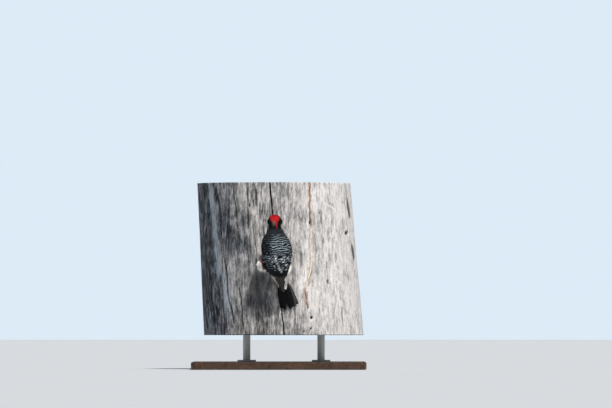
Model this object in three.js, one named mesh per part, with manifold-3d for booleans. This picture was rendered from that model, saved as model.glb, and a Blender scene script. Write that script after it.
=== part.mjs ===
// A black-cheeked woodpecker, life size, that clings to a short cut length of a dead, barkless trunk.
// Two short rods hold the length of trunk over a flat base. Nothing moves.
//
// Millimetres, +Z up, with the origin on the floor under the middle of the base. X runs to the bird's
// right, and Y runs from its back towards the trunk. The bird's own pieces are built in a frame of
// their own, whose origin lies on the front of the trunk at the level of the feet.

import * as THREE from 'three';
import { mergeVertices } from 'three/addons/utils/BufferGeometryUtils.js';
import Module from 'manifold-3d';

// The display stand
const BASE_WIDTH = 280;
const BASE_DEPTH = 330;
const BASE_THICKNESS = 12;
const BASE_CORNER = 14;
const BASE_CHAMFER = 1.5;
const ROD_RADIUS = 6;
const ROD_SPACING = 120;
const FLANGE_RADIUS = 15;
const FLANGE_THICKNESS = 3;

// The cut length of trunk: it leans to the bird's left, and is a little thinner at the top
const LOG_BOTTOM = 55;
const LOG_TOP = 300;
const LOG_RADIUS = 126.5;
const LOG_TAPER = 0.0225;
const LOG_LEAN = THREE.MathUtils.degToRad(3.8);
const LOG_AXIS_Y = 35;
const CRACK_LEAN = THREE.MathUtils.degToRad(5.6);
const CRACK_WIDTH = 2.4;
const CRACK_DEPTH = 16;
const CRACK_ACROSS = -2.7;

// The level of the feet, over the floor
const CLING_HEIGHT = 172;

// Pieces that meet are parted by this gap, and faces thinner than a sliver are joined to the next
const GAP = 0.3;
const SLIVER = 0.03;

// The cuts that part the body are wider than it, and what they leave over is smaller than this
const CUT_SIZE = 90;
const OFFCUT_VOLUME = 50;

// The feathered body without its wings, from under the tail up to the neck. Heights are over the feet,
// and back and belly are distances from the front of the trunk.
const BODY = [
  { height: -58, across: 9.8, back: 16.5, belly: 9, halfWidth: 5 },
  { height: -44, across: 7.0, back: 27, belly: 15.5, halfWidth: 8.4 },
  { height: -32, across: 4.4, back: 38, belly: 19, halfWidth: 11.8 },
  { height: -20, across: 2.0, back: 46.5, belly: 17, halfWidth: 15 },
  { height: -5, across: -0.6, back: 55, belly: 14.5, halfWidth: 19.3 },
  { height: 12, across: -2.6, back: 61, belly: 15.5, halfWidth: 21.3 },
  { height: 25, across: -3.8, back: 62.8, belly: 19, halfWidth: 21.2 },
  { height: 36, across: -4.9, back: 62.3, belly: 25, halfWidth: 18.2 },
  { height: 46, across: -5.6, back: 60.8, belly: 31, halfWidth: 14.8 },
  { height: 60, across: -6.1, back: 60, belly: 33, halfWidth: 13.4 },
];
const RUMP_END = -42;
const NECK_TOP = 69;
const BODY_FULLNESS = 2.6;

// The head, as three half sizes, and the places where the head and neck are parted
const HEAD = { across: -6.2, standoff: 46.5, height: 63.6 };
const HEAD_HALF_WIDTH = 12.3;
const HEAD_HALF_LENGTH = 16.6;
const HEAD_HALF_HEIGHT = 12.2;
const FACE_TAPER = 0.24;
const FACE_DROP = 1.2;
const HEAD_CUT_HEIGHT = 52;
const NECK_CUT_HEIGHT = 40;
const HEAD_CUT_TILT = THREE.MathUtils.degToRad(-14);
const NECK_CUT_TILT = THREE.MathUtils.degToRad(-14);

// The eyes and the bill
const EYE_RADIUS = 2.9;
const EYE_FORWARD = 5.2;
const EYE_RAISED = 1.9;
const EYE_APART = 18.6;
const BILL_LENGTH = 23.5;
const BILL_ROOT = 4;
const BILL_HEIGHT = 8.4;
const BILL_WIDTH = 7.6;
const BILL_DROP = 2.0;
const BILL_BEND = 0.3;
const BILL_TIP_DROP = 1.2;
const BILL_TAPER = 0.72;
const UPPER_BILL_SHARE = 0.56;
const LOWER_BILL_SHORTER = 1.4;

// The flanks, whose loose feathers stand out past the wings
const FLANK_LEFT = { across: -19.5, standoff: 28, height: 0, side: 12.5, depth: 11.5, length: 18 };
const FLANK_RIGHT = { across: 11.5, standoff: 28, height: 1, side: 11, depth: 11, length: 19 };

// The folded wings
const WRIST_HEIGHT = 44;
const WING_TIP_HEIGHT = -46;
const WING_THICKNESS = 3.4;
const WING_TIP_THICKNESS = 0.5 * WING_THICKNESS;
const WING_LEAST_THICKNESS = 0.7;
const WING_THINNING = 0.62;
const WING_EDGE = 0.3;

// Shares of the folded wing's length, from the wrist to the tip: the rounding of the wrist, where the
// inner edge nears the back's middle line, where the outer edge starts to draw in, where the tip starts
// to narrow, and where the tertials end over the wing tip
const WRIST_ROUNDING = 0.13;
const BACK_REACHED = 0.45;
const TIP_NARROWING = 0.8;
const TERTIAL_END = 0.745;
const TIP_START = TERTIAL_END + 0.004;
const TERTIAL_ROUNDING = 0.07;

// Angles round the body from the back's middle line: the wing's edges at the wrist and at the tip
const INNER_EDGE_WRIST = THREE.MathUtils.degToRad(34);
const INNER_EDGE_TIP = THREE.MathUtils.degToRad(2);
const OUTER_EDGE_WRIST = THREE.MathUtils.degToRad(112);
const OUTER_EDGE_TIP = THREE.MathUtils.degToRad(16);

// The tail: ten feathers in a half open fan
const TAIL_ROOT = { across: 4.3, standoff: 36, height: -28 };
const TAIL_LEAN = THREE.MathUtils.degToRad(11.5);
const TAIL_SLOPE = THREE.MathUtils.degToRad(43);
const TAIL_FLEX = THREE.MathUtils.degToRad(20);
const TAIL_LENGTH = 62;
const TAIL_STEP_LEFT = 2;
const TAIL_STEP_RIGHT = 0.9;
const TAIL_PAIRS = 5;
const TAIL_FEATHER_WIDTH = 8.6;
const TAIL_FEATHER_THICKNESS = 0.6;
const TAIL_LAYER = 0.95;
const TAIL_STAGGER = 0.5;
const TAIL_ROOT_SHARE = 0.5;
const TIP_ROUNDING = 0.22;
const OUTER_TIP_ROUNDING = 0.1;
const TIP_WIDTH_SHARE = 0.14;
const FAN_RIGHT = THREE.MathUtils.degToRad(2.55);
const FAN_LEFT = THREE.MathUtils.degToRad(0.5);

// The legs and feet, with two toes forward and two back
const FOOT_APART = 27;
const FOOT_ACROSS = -2.6;
const FOOT_RAISED = 5;
const HEEL = { apart: 27, standoff: 15.5, height: -13 };
const HIP = { apart: 22, standoff: 31, height: 4 };
const THIGH_RADIUS = 7.5;
const HEEL_RADIUS = 2.2;
const TARSUS_RADIUS = 1.35;
const TOE_RADIUS = 1.25;
const TOE_LIFT = TOE_RADIUS + GAP;
const TOE_ARCH = 0.9;
const TOE_ROOT = 1.1;
const CLAW_LENGTH = 6.4;
const CLAW_RADIUS = 0.95;
const CLAW_SEAT = 0.8;
const CLAW_ARCH = 2.4;
const TOES = [
  { name: 'hallux', length: 7.5, turn: 152 },
  { name: 'inner', length: 10.5, turn: 22 },
  { name: 'middle', length: 14.5, turn: -6 },
  { name: 'outer', length: 13, turn: -146 },
];

const SIDES = [{ name: 'left', sign: -1 }, { name: 'right', sign: 1 }];
const OUTWARD = new THREE.Vector3(0, -1, 0);
const UPWARD = new THREE.Vector3(0, 0, 1);

const wasm = await Module();
wasm.setup();

// Colours and finishes

function finish(colour, roughness, metalness = 0) {
  return new THREE.MeshStandardMaterial({ color: colour, roughness, metalness });
}

const FINISHES = {
  crown: finish(0xb01818, 0.75),
  plumage: finish(0x24262b, 0.7),
  barred: finish(0x4a4d52, 0.7),
  flight: finish(0x16171a, 0.55),
  flank: finish(0xcfc8bb, 0.8),
  horn: finish(0x2a2c2f, 0.35),
  eye: finish(0x1c0f0a, 0.08),
  scutes: finish(0x6d7268, 0.55),
  deadWood: finish(0xa9a6a1, 0.85),
  stain: finish(0x3b2417, 0.4),
  steel: finish(0x9a9a98, 0.3, 1),
};

// Solids

function toSolid(geometry) {
  const bare = geometry.clone();
  bare.deleteAttribute('normal');
  bare.deleteAttribute('uv');
  const merged = mergeVertices(bare, 1e-4);
  const mesh = new wasm.Mesh({
    numProp: 3,
    vertProperties: merged.attributes.position.array,
    triVerts: new Uint32Array(merged.index.array),
  });
  return new wasm.Manifold(mesh);
}

// The largest body that a cut leaves, without the slivers beside it
function toGeometry(solid) {
  const bodies = solid.decompose();
  const largest = bodies.reduce((best, body) => (body.volume() > best.volume() ? body : best));
  const mesh = largest.simplify(SLIVER).getMesh();
  const geometry = new THREE.BufferGeometry();
  geometry.setAttribute('position', new THREE.BufferAttribute(new Float32Array(mesh.vertProperties), 3));
  geometry.setIndex(new THREE.BufferAttribute(new Uint32Array(mesh.triVerts), 1));
  return geometry;
}

// A geometry with each of its points moved by a function
function reshaped(geometry, move) {
  const points = geometry.attributes.position;
  const point = new THREE.Vector3();
  for (let i = 0; i < points.count; i++) {
    point.fromBufferAttribute(points, i);
    move(point);
    points.setXYZ(i, point.x, point.y, point.z);
  }
  return geometry;
}

// How much a ring of a unit sphere is widened: 1 leaves the sphere, and more is blunter at the ends
function swell(ring, fullness) {
  return ring < 1e-6 ? 0 : (1 - (1 - Math.min(ring, 1)) ** fullness) / ring;
}

// A closed, round-ended body along a curve. sizes(t) gives its half width and how far it reaches to its
// upper side and to its lower side.
function spindle(curve, upper, sizes, { around = 16, along = 12, fullness = 1 } = {}) {
  const side = new THREE.Vector3();
  const up = new THREE.Vector3();
  return reshaped(new THREE.SphereGeometry(1, around, along), (point) => {
    const ring = Math.hypot(point.x, point.z);
    const t = THREE.MathUtils.clamp((1 - point.y) / 2, 0, 1);
    const tangent = curve.getTangent(t);
    side.crossVectors(upper, tangent).normalize();
    up.crossVectors(tangent, side).normalize();
    const widened = swell(ring, fullness);
    const size = sizes(t);
    const lift = point.z > 0 ? size.upper : size.lower;
    const across = point.x * widened * size.side;
    const raised = point.z * widened * lift;
    point.copy(curve.getPoint(t)).addScaledVector(side, across).addScaledVector(up, raised);
  });
}

function ellipsoid({ across, standoff, height, side, depth, length }, grown = 0) {
  const geometry = new THREE.SphereGeometry(1, 14, 10);
  geometry.scale(side + grown, length + grown, depth + grown);
  geometry.rotateX(Math.PI / 2);
  geometry.translate(across, -standoff, height);
  return geometry;
}

// The body's section at a height: its middle, and its half sizes

const bodyInterpolant = new THREE.CubicInterpolant(
  BODY.map((station) => station.height),
  BODY.flatMap((station) => [station.across, station.back, station.belly, station.halfWidth]),
  4,
);

function bodySection(height) {
  const [across, back, belly, halfWidth] = bodyInterpolant.evaluate(height);
  return { across, y: -(back + belly) / 2, halfWidth, halfDepth: (back - belly) / 2 };
}

// A point over the body's surface: the angle is 0 on the back's middle line, 90 degrees on a side
function overBody(height, angle, sign, offset) {
  const section = bodySection(height);
  return new THREE.Vector3(
    section.across + sign * Math.sin(angle) * (section.halfWidth + offset),
    section.y - Math.cos(angle) * (section.halfDepth + offset),
    height,
  );
}

function torso(grown = 0) {
  const middle = (NECK_TOP + RUMP_END) / 2;
  const half = (NECK_TOP - RUMP_END) / 2 + grown;
  return reshaped(new THREE.SphereGeometry(1, 26, 22), (point) => {
    const ring = Math.hypot(point.x, point.z);
    const height = middle + half * point.y;
    const section = bodySection(height);
    const widened = swell(ring, BODY_FULLNESS);
    point.set(
      section.across + point.x * widened * (section.halfWidth + grown),
      section.y - point.z * widened * (section.halfDepth + grown),
      height,
    );
  });
}

function skull(grown = 0) {
  const geometry = new THREE.SphereGeometry(1, 24, 16);
  return reshaped(geometry, (point) => {
    const forward = point.y;
    const faceShare = THREE.MathUtils.smoothstep(forward, -0.2, 1);
    const narrowing = 1 - FACE_TAPER * faceShare;
    point.set(
      HEAD.across + point.x * (HEAD_HALF_WIDTH * narrowing + grown),
      -HEAD.standoff + forward * (HEAD_HALF_LENGTH + grown),
      HEAD.height + point.z * (HEAD_HALF_HEIGHT * narrowing + grown) - FACE_DROP * faceShare,
    );
  });
}

// Cutting slabs, for the thin cuts that part the head, the neck and the trunk of the body

function slab(height, tilt) {
  const geometry = new THREE.BoxGeometry(CUT_SIZE, CUT_SIZE, GAP);
  geometry.rotateX(tilt);
  geometry.translate(0, -HEAD.standoff, height);
  return toSolid(geometry);
}

function eyeCentre(sign) {
  return new THREE.Vector3(
    HEAD.across + sign * EYE_APART / 2,
    -HEAD.standoff + EYE_FORWARD,
    HEAD.height + EYE_RAISED,
  );
}

function ball(centre, radius) {
  const geometry = new THREE.SphereGeometry(radius, 14, 10);
  geometry.translate(centre.x, centre.y, centre.z);
  return geometry;
}

function thighPoints(sign, longer = 0) {
  const hip = new THREE.Vector3(FOOT_ACROSS + sign * HIP.apart / 2, -HIP.standoff, HIP.height);
  const heel = new THREE.Vector3(FOOT_ACROSS + sign * HEEL.apart / 2, -HEEL.standoff, HEEL.height);
  const way = heel.clone().sub(hip).normalize();
  return [hip.addScaledVector(way, -longer), heel.addScaledVector(way, longer)];
}

function thigh(sign, grown = 0) {
  const [hip, heel] = thighPoints(sign, grown);
  const sizes = (t) => {
    const radius = THREE.MathUtils.lerp(THIGH_RADIUS, HEEL_RADIUS, t ** 0.8) + grown;
    return { side: radius, upper: radius, lower: radius };
  };
  const options = { around: 12, along: 8, fullness: 2 };
  return spindle(new THREE.LineCurve3(hip, heel), OUTWARD, sizes, options);
}

// The body whole, then parted

function body(grown = 0) {
  return toSolid(torso(grown))
    .add(toSolid(skull(grown)))
    .add(toSolid(ellipsoid(FLANK_LEFT, grown)))
    .add(toSolid(ellipsoid(FLANK_RIGHT, grown)));
}

const bodyGrown = body(GAP);

const thighsWhole = SIDES.map((side) => toSolid(thigh(side.sign)));
const thighsGrown = SIDES.map((side) => toSolid(thigh(side.sign, GAP)));
const parted = body()
  .subtract(thighsGrown[0])
  .subtract(thighsGrown[1])
  .subtract(toSolid(ball(eyeCentre(-1), EYE_RADIUS + GAP)))
  .subtract(toSolid(ball(eyeCentre(1), EYE_RADIUS + GAP)))
  .subtract(slab(HEAD_CUT_HEIGHT, HEAD_CUT_TILT))
  .subtract(slab(NECK_CUT_HEIGHT, NECK_CUT_TILT))
  .decompose()
  .filter((solid) => solid.volume() > OFFCUT_VOLUME)
  .sort((one, other) => other.boundingBox().max[2] - one.boundingBox().max[2]);
const [headSolid, neckSolid, trunkSolid] = parted;

const model = new THREE.Group();
const bird = new THREE.Group();
bird.position.set(0, LOG_AXIS_Y - LOG_RADIUS, CLING_HEIGHT);
model.add(bird);

function place(group, name, geometry, material) {
  const mesh = new THREE.Mesh(geometry, material);
  mesh.name = name;
  group.add(mesh);
  return mesh;
}

place(bird, 'head', toGeometry(headSolid), FINISHES.crown);
place(bird, 'neck', toGeometry(neckSolid), FINISHES.plumage);
place(bird, 'trunk', toGeometry(trunkSolid), FINISHES.barred);

// Eyes

for (const side of SIDES) {
  place(bird, `eye_${side.name}`, ball(eyeCentre(side.sign), EYE_RADIUS), FINISHES.eye);
}

// The bill: two tapering halves that meet along the gape

function mandible(sign) {
  const root = new THREE.Vector3(
    HEAD.across,
    -HEAD.standoff + HEAD_HALF_LENGTH - BILL_ROOT,
    HEAD.height - BILL_DROP,
  );
  const length = BILL_LENGTH + BILL_ROOT - (sign < 0 ? LOWER_BILL_SHORTER : 0);
  const middle = root.clone().add(new THREE.Vector3(0, length / 2, -BILL_BEND));
  const tip = root.clone().add(new THREE.Vector3(0, length, -BILL_TIP_DROP));
  for (const point of [root, middle, tip]) {
    point.z += sign * GAP / 2;
  }
  const curve = new THREE.QuadraticBezierCurve3(root, middle, tip);
  const share = sign > 0 ? UPPER_BILL_SHARE : 1 - UPPER_BILL_SHARE;
  const sizes = (t) => {
    const slim = (1 - t) ** BILL_TAPER;
    const height = BILL_HEIGHT * share * slim;
    return { side: BILL_WIDTH / 2 * slim, upper: sign > 0 ? height : 0, lower: sign > 0 ? 0 : height };
  };
  const options = { around: 12, along: 8, fullness: 3 };
  return toSolid(spindle(curve, UPWARD, sizes, options)).subtract(bodyGrown);
}

place(bird, 'bill_upper', toGeometry(mandible(1)), FINISHES.horn);
place(bird, 'bill_lower', toGeometry(mandible(-1)), FINISHES.horn);

// The folded wings: shells over the body's sides, with the wing tips as pieces of their own

// A part of a folded wing between two shares of its length. Where the tertials end over the wing tip,
// the edge is rounded.
function wingShell(sign, from, to, fullThickness, columns, rows) {
  const { clamp, lerp, smoothstep } = THREE.MathUtils;
  const geometry = new THREE.BoxGeometry(1, 1, 1, columns, 1, rows);
  return toSolid(reshaped(geometry, (point) => {
    const outward = 0.5 - sign * point.x;
    const rise = TERTIAL_ROUNDING * (2 * outward - 1) ** 2;
    const top = from > 0 ? from - rise : from;
    const bottom = to < 1 ? to - rise : to;
    const down = lerp(top, bottom, 0.5 - point.z);
    const wrist = Math.sqrt(1 - (1 - Math.min(down / WRIST_ROUNDING, 1)) ** 2);
    const narrowed = Math.max(0, (down - TIP_NARROWING) / (1 - TIP_NARROWING));
    const breadth = Math.max(wrist, 0.34) * Math.max(Math.sqrt(1 - narrowed ** 2), 0.2);
    const inner = lerp(INNER_EDGE_WRIST, INNER_EDGE_TIP, clamp(down / BACK_REACHED, 0, 1) ** 1.2);
    const outer = lerp(OUTER_EDGE_WRIST, OUTER_EDGE_TIP, smoothstep(down, BACK_REACHED, 1.15));
    const angle = (inner + outer) / 2 + (outward - 0.5) * (outer - inner) * breadth;
    const height = lerp(WRIST_HEIGHT, WING_TIP_HEIGHT, down);
    const full = fullThickness * (1 - WING_THINNING * down);
    const edging = lerp(WING_EDGE, 1, Math.sin(Math.PI * outward) ** 0.55) * lerp(WING_EDGE, 1, wrist);
    const thickness = lerp(WING_LEAST_THICKNESS, full, edging);
    point.copy(overBody(height, angle, sign, 2 * GAP + (point.y + 0.5) * thickness));
  }));
}

for (const [index, side] of SIDES.entries()) {
  const wing = wingShell(side.sign, 0, TERTIAL_END, WING_THICKNESS, 8, 9)
    .subtract(bodyGrown)
    .subtract(thighsGrown[index]);
  const tip = wingShell(side.sign, TIP_START, 1, WING_TIP_THICKNESS, 5, 4).subtract(bodyGrown);
  place(bird, `wing_${side.name}`, toGeometry(wing), FINISHES.barred);
  place(bird, `wing_tip_${side.name}`, toGeometry(tip), FINISHES.flight);
}

// A point of the tail, which springs from under the rump and flattens out against the trunk

function onTail(along, across, layer) {
  const radius = TAIL_LENGTH / TAIL_FLEX;
  const slope = TAIL_SLOPE - along / radius;
  const inward = radius * (Math.cos(slope) - Math.cos(TAIL_SLOPE)) - layer * Math.cos(slope);
  const downward = radius * (Math.sin(TAIL_SLOPE) - Math.sin(slope)) + layer * Math.sin(slope);
  return new THREE.Vector3(
    TAIL_ROOT.across + downward * Math.sin(TAIL_LEAN) + across * Math.cos(TAIL_LEAN),
    -TAIL_ROOT.standoff + inward,
    TAIL_ROOT.height - downward * Math.cos(TAIL_LEAN) + across * Math.sin(TAIL_LEAN),
  );
}

// The tail feathers, each a thin pointed plate under the one nearer the middle

function tailFeather(sign, pair) {
  const fan = sign * (sign > 0 ? FAN_RIGHT : FAN_LEFT) * (pair + 0.35);
  const step = sign > 0 ? TAIL_STEP_RIGHT : TAIL_STEP_LEFT;
  const length = TAIL_LENGTH - step * pair;
  const blunt = pair < TAIL_PAIRS - 1 ? TIP_ROUNDING : OUTER_TIP_ROUNDING;
  const geometry = new THREE.BoxGeometry(1, 1, 1, 2, 1, 8);
  return toSolid(reshaped(geometry, (point) => {
    const down = 0.5 - point.z;
    const filling = THREE.MathUtils.lerp(TAIL_ROOT_SHARE, 1, Math.min(1, down * 2.5));
    const rounding = Math.sqrt(1 - Math.max(0, (down - 1 + blunt) / blunt) ** 2);
    const middle = sign * (TAIL_FEATHER_WIDTH * filling / 2 + GAP / 2 + pair * TAIL_STAGGER * filling);
    const sideways = middle + point.x * TAIL_FEATHER_WIDTH * filling * Math.max(rounding, TIP_WIDTH_SHARE);
    const along = down * length;
    const downTail = along * Math.cos(fan) - sideways * Math.sin(fan);
    const across = along * Math.sin(fan) + sideways * Math.cos(fan);
    const layer = -TAIL_LAYER * pair - point.y * TAIL_FEATHER_THICKNESS;
    point.copy(onTail(downTail, across, layer));
  })).subtract(bodyGrown);
}

for (const side of SIDES) {
  for (let pair = 0; pair < TAIL_PAIRS; pair++) {
    const feather = tailFeather(side.sign, pair);
    place(bird, `tail_feather_${side.name}_${pair + 1}`, toGeometry(feather), FINISHES.flight);
  }
}

// The legs: a feathered thigh, a bare shank, and a foot with four clawed toes

// How far behind the bird's origin the trunk's surface lies
function logSurface(x, height) {
  const radius = LOG_RADIUS - LOG_TAPER * height;
  const across = x + height * Math.tan(LOG_LEAN);
  return LOG_RADIUS - Math.sqrt(radius ** 2 - across ** 2);
}

function footCentre(sign) {
  const x = FOOT_ACROSS + sign * FOOT_APART / 2;
  return new THREE.Vector3(x, logSurface(x, FOOT_RAISED) - TOE_RADIUS - 1.4, FOOT_RAISED);
}

function onLog(sign, from, turn, reach, lift) {
  const angle = THREE.MathUtils.degToRad(turn);
  const x = from.x + -sign * Math.sin(angle) * reach;
  const z = from.z + Math.cos(angle) * reach;
  return new THREE.Vector3(x, logSurface(x, z) - lift, z);
}

function even(radius) {
  return (t) => ({ side: radius(t), upper: radius(t), lower: radius(t) });
}

function shank(sign, grown = 0) {
  const foot = footCentre(sign);
  const [, heel] = thighPoints(sign);
  const radius = even((t) => grown + TARSUS_RADIUS * (1 + 0.35 * (2 * t - 1) ** 4));
  const curve = new THREE.LineCurve3(heel, foot);
  return toSolid(spindle(curve, OUTWARD, radius, { around: 8, along: 6, fullness: 4 }));
}

function toeCurve(sign, toe) {
  const foot = footCentre(sign);
  return new THREE.QuadraticBezierCurve3(
    onLog(sign, foot, toe.turn, TOE_ROOT, TOE_LIFT + 0.8 * TOE_ARCH),
    onLog(sign, foot, toe.turn, toe.length * 0.55, TOE_LIFT + TOE_ARCH),
    onLog(sign, foot, toe.turn, toe.length, TOE_LIFT + 0.2 * TOE_ARCH),
  );
}

function toeSolid(sign, toe, grown = 0) {
  const radius = even((t) => grown + TOE_RADIUS * (1 - 0.25 * t));
  return toSolid(spindle(toeCurve(sign, toe), OUTWARD, radius, { around: 8, along: 6, fullness: 4 }));
}

function clawSolid(sign, toe) {
  const foot = footCentre(sign);
  const curve = new THREE.QuadraticBezierCurve3(
    onLog(sign, foot, toe.turn, toe.length - CLAW_SEAT, TOE_LIFT + 0.4 * TOE_ARCH),
    onLog(sign, foot, toe.turn, toe.length + CLAW_LENGTH * 0.75, TOE_LIFT + CLAW_ARCH),
    onLog(sign, foot, toe.turn, toe.length + CLAW_LENGTH * 0.85, GAP),
  );
  const sizes = (t) => {
    const radius = CLAW_RADIUS * (1 - t) ** 0.7;
    return { side: radius * 0.75, upper: radius, lower: radius };
  };
  return toSolid(spindle(curve, OUTWARD, sizes, { around: 6, along: 7, fullness: 4 }));
}

for (const [index, side] of SIDES.entries()) {
  place(bird, `thigh_${side.name}`, toGeometry(thighsWhole[index]), FINISHES.flank);
  const tarsus = shank(side.sign).subtract(thighsGrown[index]);
  place(bird, `tarsus_${side.name}`, toGeometry(tarsus), FINISHES.scutes);
  let taken = shank(side.sign, GAP);
  for (const toe of TOES) {
    const bones = toeSolid(side.sign, toe).subtract(taken);
    place(bird, `toe_${side.name}_${toe.name}`, toGeometry(bones), FINISHES.scutes);
    taken = taken.add(toeSolid(side.sign, toe, GAP));
    const claw = clawSolid(side.sign, toe).subtract(taken);
    place(bird, `claw_${side.name}_${toe.name}`, toGeometry(claw), FINISHES.horn);
  }
}

// The cut length of trunk, with its long drying crack

function log() {
  const length = LOG_TOP - LOG_BOTTOM;
  const geometry = new THREE.CylinderGeometry(1, 1, length, 64, 3);
  geometry.rotateX(Math.PI / 2);
  geometry.translate(0, 0, (LOG_TOP + LOG_BOTTOM) / 2);
  const wood = toSolid(reshaped(geometry, (point) => {
    const rise = point.z - CLING_HEIGHT;
    const radius = LOG_RADIUS - LOG_TAPER * rise;
    point.set(point.x * radius - rise * Math.tan(LOG_LEAN), LOG_AXIS_Y + point.y * radius, point.z);
  }));
  const crack = new THREE.BoxGeometry(CRACK_WIDTH, 2 * CRACK_DEPTH, 2 * length);
  crack.rotateY(-CRACK_LEAN);
  crack.translate(CRACK_ACROSS, LOG_AXIS_Y - LOG_RADIUS, CLING_HEIGHT);
  return wood.subtract(toSolid(crack));
}

place(model, 'perch_log', toGeometry(log()), FINISHES.deadWood);

// The stand

function baseOutline() {
  const shape = new THREE.Shape();
  const x = BASE_WIDTH / 2 - BASE_CHAMFER;
  const y = BASE_DEPTH / 2 - BASE_CHAMFER;
  const corner = BASE_CORNER - BASE_CHAMFER;
  shape.moveTo(-x + corner, -y);
  shape.lineTo(x - corner, -y);
  shape.absarc(x - corner, -y + corner, corner, -Math.PI / 2, 0);
  shape.lineTo(x, y - corner);
  shape.absarc(x - corner, y - corner, corner, 0, Math.PI / 2);
  shape.lineTo(-x + corner, y);
  shape.absarc(-x + corner, y - corner, corner, Math.PI / 2, Math.PI);
  shape.lineTo(-x, -y + corner);
  shape.absarc(-x + corner, -y + corner, corner, Math.PI, Math.PI * 1.5);
  return shape;
}

const base = new THREE.ExtrudeGeometry(baseOutline(), {
  depth: BASE_THICKNESS - 2 * BASE_CHAMFER,
  bevelEnabled: true,
  bevelThickness: BASE_CHAMFER,
  bevelSize: BASE_CHAMFER,
  bevelSegments: 1,
  curveSegments: 5,
});
base.translate(0, 0, BASE_CHAMFER);
place(model, 'stand_base', base, FINISHES.stain);

function rod() {
  const height = LOG_BOTTOM - BASE_THICKNESS;
  const profile = [
    new THREE.Vector2(0, 0),
    new THREE.Vector2(FLANGE_RADIUS, 0),
    new THREE.Vector2(FLANGE_RADIUS, FLANGE_THICKNESS),
    new THREE.Vector2(ROD_RADIUS, FLANGE_THICKNESS),
    new THREE.Vector2(ROD_RADIUS, height),
    new THREE.Vector2(0, height),
  ];
  const geometry = new THREE.LatheGeometry(profile, 20);
  geometry.rotateX(Math.PI / 2);
  return geometry;
}

for (const side of SIDES) {
  const middle = (CLING_HEIGHT - LOG_BOTTOM) * Math.tan(LOG_LEAN);
  const mesh = place(model, `stand_rod_${side.name}`, rod(), FINISHES.steel);
  mesh.position.set(middle + side.sign * ROD_SPACING / 2, LOG_AXIS_Y, BASE_THICKNESS);
}

export default model;
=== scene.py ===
# A life-size still model of a black-cheeked woodpecker on a short cut length of dead trunk, with its
# feathers, bill, eyes and feet, over a plain display stand. Metres, +Z up, in the frame of the solids.

import itertools
import math

import bmesh
import bpy
import numpy as np
from mathutils import Matrix, Vector
from mathutils.bvhtree import BVHTree


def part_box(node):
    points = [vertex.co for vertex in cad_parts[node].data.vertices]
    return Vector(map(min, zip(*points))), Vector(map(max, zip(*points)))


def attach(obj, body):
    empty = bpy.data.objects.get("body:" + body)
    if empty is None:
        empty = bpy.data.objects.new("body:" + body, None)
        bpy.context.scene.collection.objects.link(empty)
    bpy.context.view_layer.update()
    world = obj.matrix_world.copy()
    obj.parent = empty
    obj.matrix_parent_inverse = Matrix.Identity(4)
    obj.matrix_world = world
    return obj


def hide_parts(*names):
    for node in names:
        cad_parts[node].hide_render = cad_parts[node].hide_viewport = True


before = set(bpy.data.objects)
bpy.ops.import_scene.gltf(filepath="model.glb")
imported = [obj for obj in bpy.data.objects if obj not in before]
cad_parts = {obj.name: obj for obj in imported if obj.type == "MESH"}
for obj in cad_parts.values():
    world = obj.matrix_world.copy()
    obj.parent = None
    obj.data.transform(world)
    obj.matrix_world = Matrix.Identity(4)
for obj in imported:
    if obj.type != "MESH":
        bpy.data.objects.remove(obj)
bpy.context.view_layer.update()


# The perch: a cut length of a dead, barkless trunk, silver-grey and weathered, with a deep drying crack
# down its front and a beetle's gallery beside it. It is sawn square at both ends, and one mesh.

MM = 0.001
LOG_LOW, LOG_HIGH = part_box("perch_log")
LOG_BOTTOM, LOG_TOP = LOG_LOW.z, LOG_HIGH.z
CLING_HEIGHT = 172 * MM
LOG_RADIUS = 126.5 * MM
LOG_TAPER = 0.0225
LOG_AXIS_Y = 35 * MM
LOG_LEAN = math.tan(math.radians(3.8))
CRACK_LEAN = math.tan(math.radians(5.6))
CRACK_MIDDLE = -2.7 * MM
CRACK_HALF_WIDTH = 1.15 * MM
CRACK_DEPTH = 15 * MM
LOG_ROWS = 128
LOG_COLUMNS = 620


def smoothstep(low, high, value):
    """0 at low, 1 at high, and eased between them; low may be over high."""
    t = np.clip((value - low) / (high - low), 0, 1)
    return t * t * (3 - 2 * t)


def noise_lattice(rng, size):
    return rng.random((size, size))


def value_noise(lattice, u, v):
    """Smooth noise from 0 to 1 over two coordinates, repeating after the lattice's size."""
    size = lattice.shape[0]
    column, row = np.floor(u).astype(int), np.floor(v).astype(int)
    fu, fv = u - column, v - row
    fu, fv = fu * fu * (3 - 2 * fu), fv * fv * (3 - 2 * fv)
    c0, c1, r0, r1 = column % size, (column + 1) % size, row % size, (row + 1) % size
    upper = lattice[r0, c0] * (1 - fu) + lattice[r0, c1] * fu
    lower = lattice[r1, c0] * (1 - fu) + lattice[r1, c1] * fu
    return upper * (1 - fv) + lower * fv


def new_mesh(name, points, faces, smooth=True):
    """A mesh object from an array of points and a list of arrays of faces, each of one corner count."""
    mesh = bpy.data.meshes.new(name)
    corners = np.concatenate([part.ravel() for part in faces]).astype(np.int32)
    totals = np.concatenate([np.full(len(part), part.shape[1]) for part in faces]).astype(np.int32)
    starts = np.concatenate([[0], np.cumsum(totals)[:-1]]).astype(np.int32)
    mesh.vertices.add(len(points))
    mesh.vertices.foreach_set("co", np.asarray(points, np.float32).ravel())
    mesh.loops.add(len(corners))
    mesh.loops.foreach_set("vertex_index", corners)
    mesh.polygons.add(len(totals))
    mesh.polygons.foreach_set("loop_start", starts)
    mesh.polygons.foreach_set("loop_total", totals)
    mesh.update(calc_edges=True)
    mesh.validate()
    if smooth:
        mesh.shade_smooth()
    piece = bpy.data.objects.new(name, mesh)
    bpy.context.scene.collection.objects.link(piece)
    return piece


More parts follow.
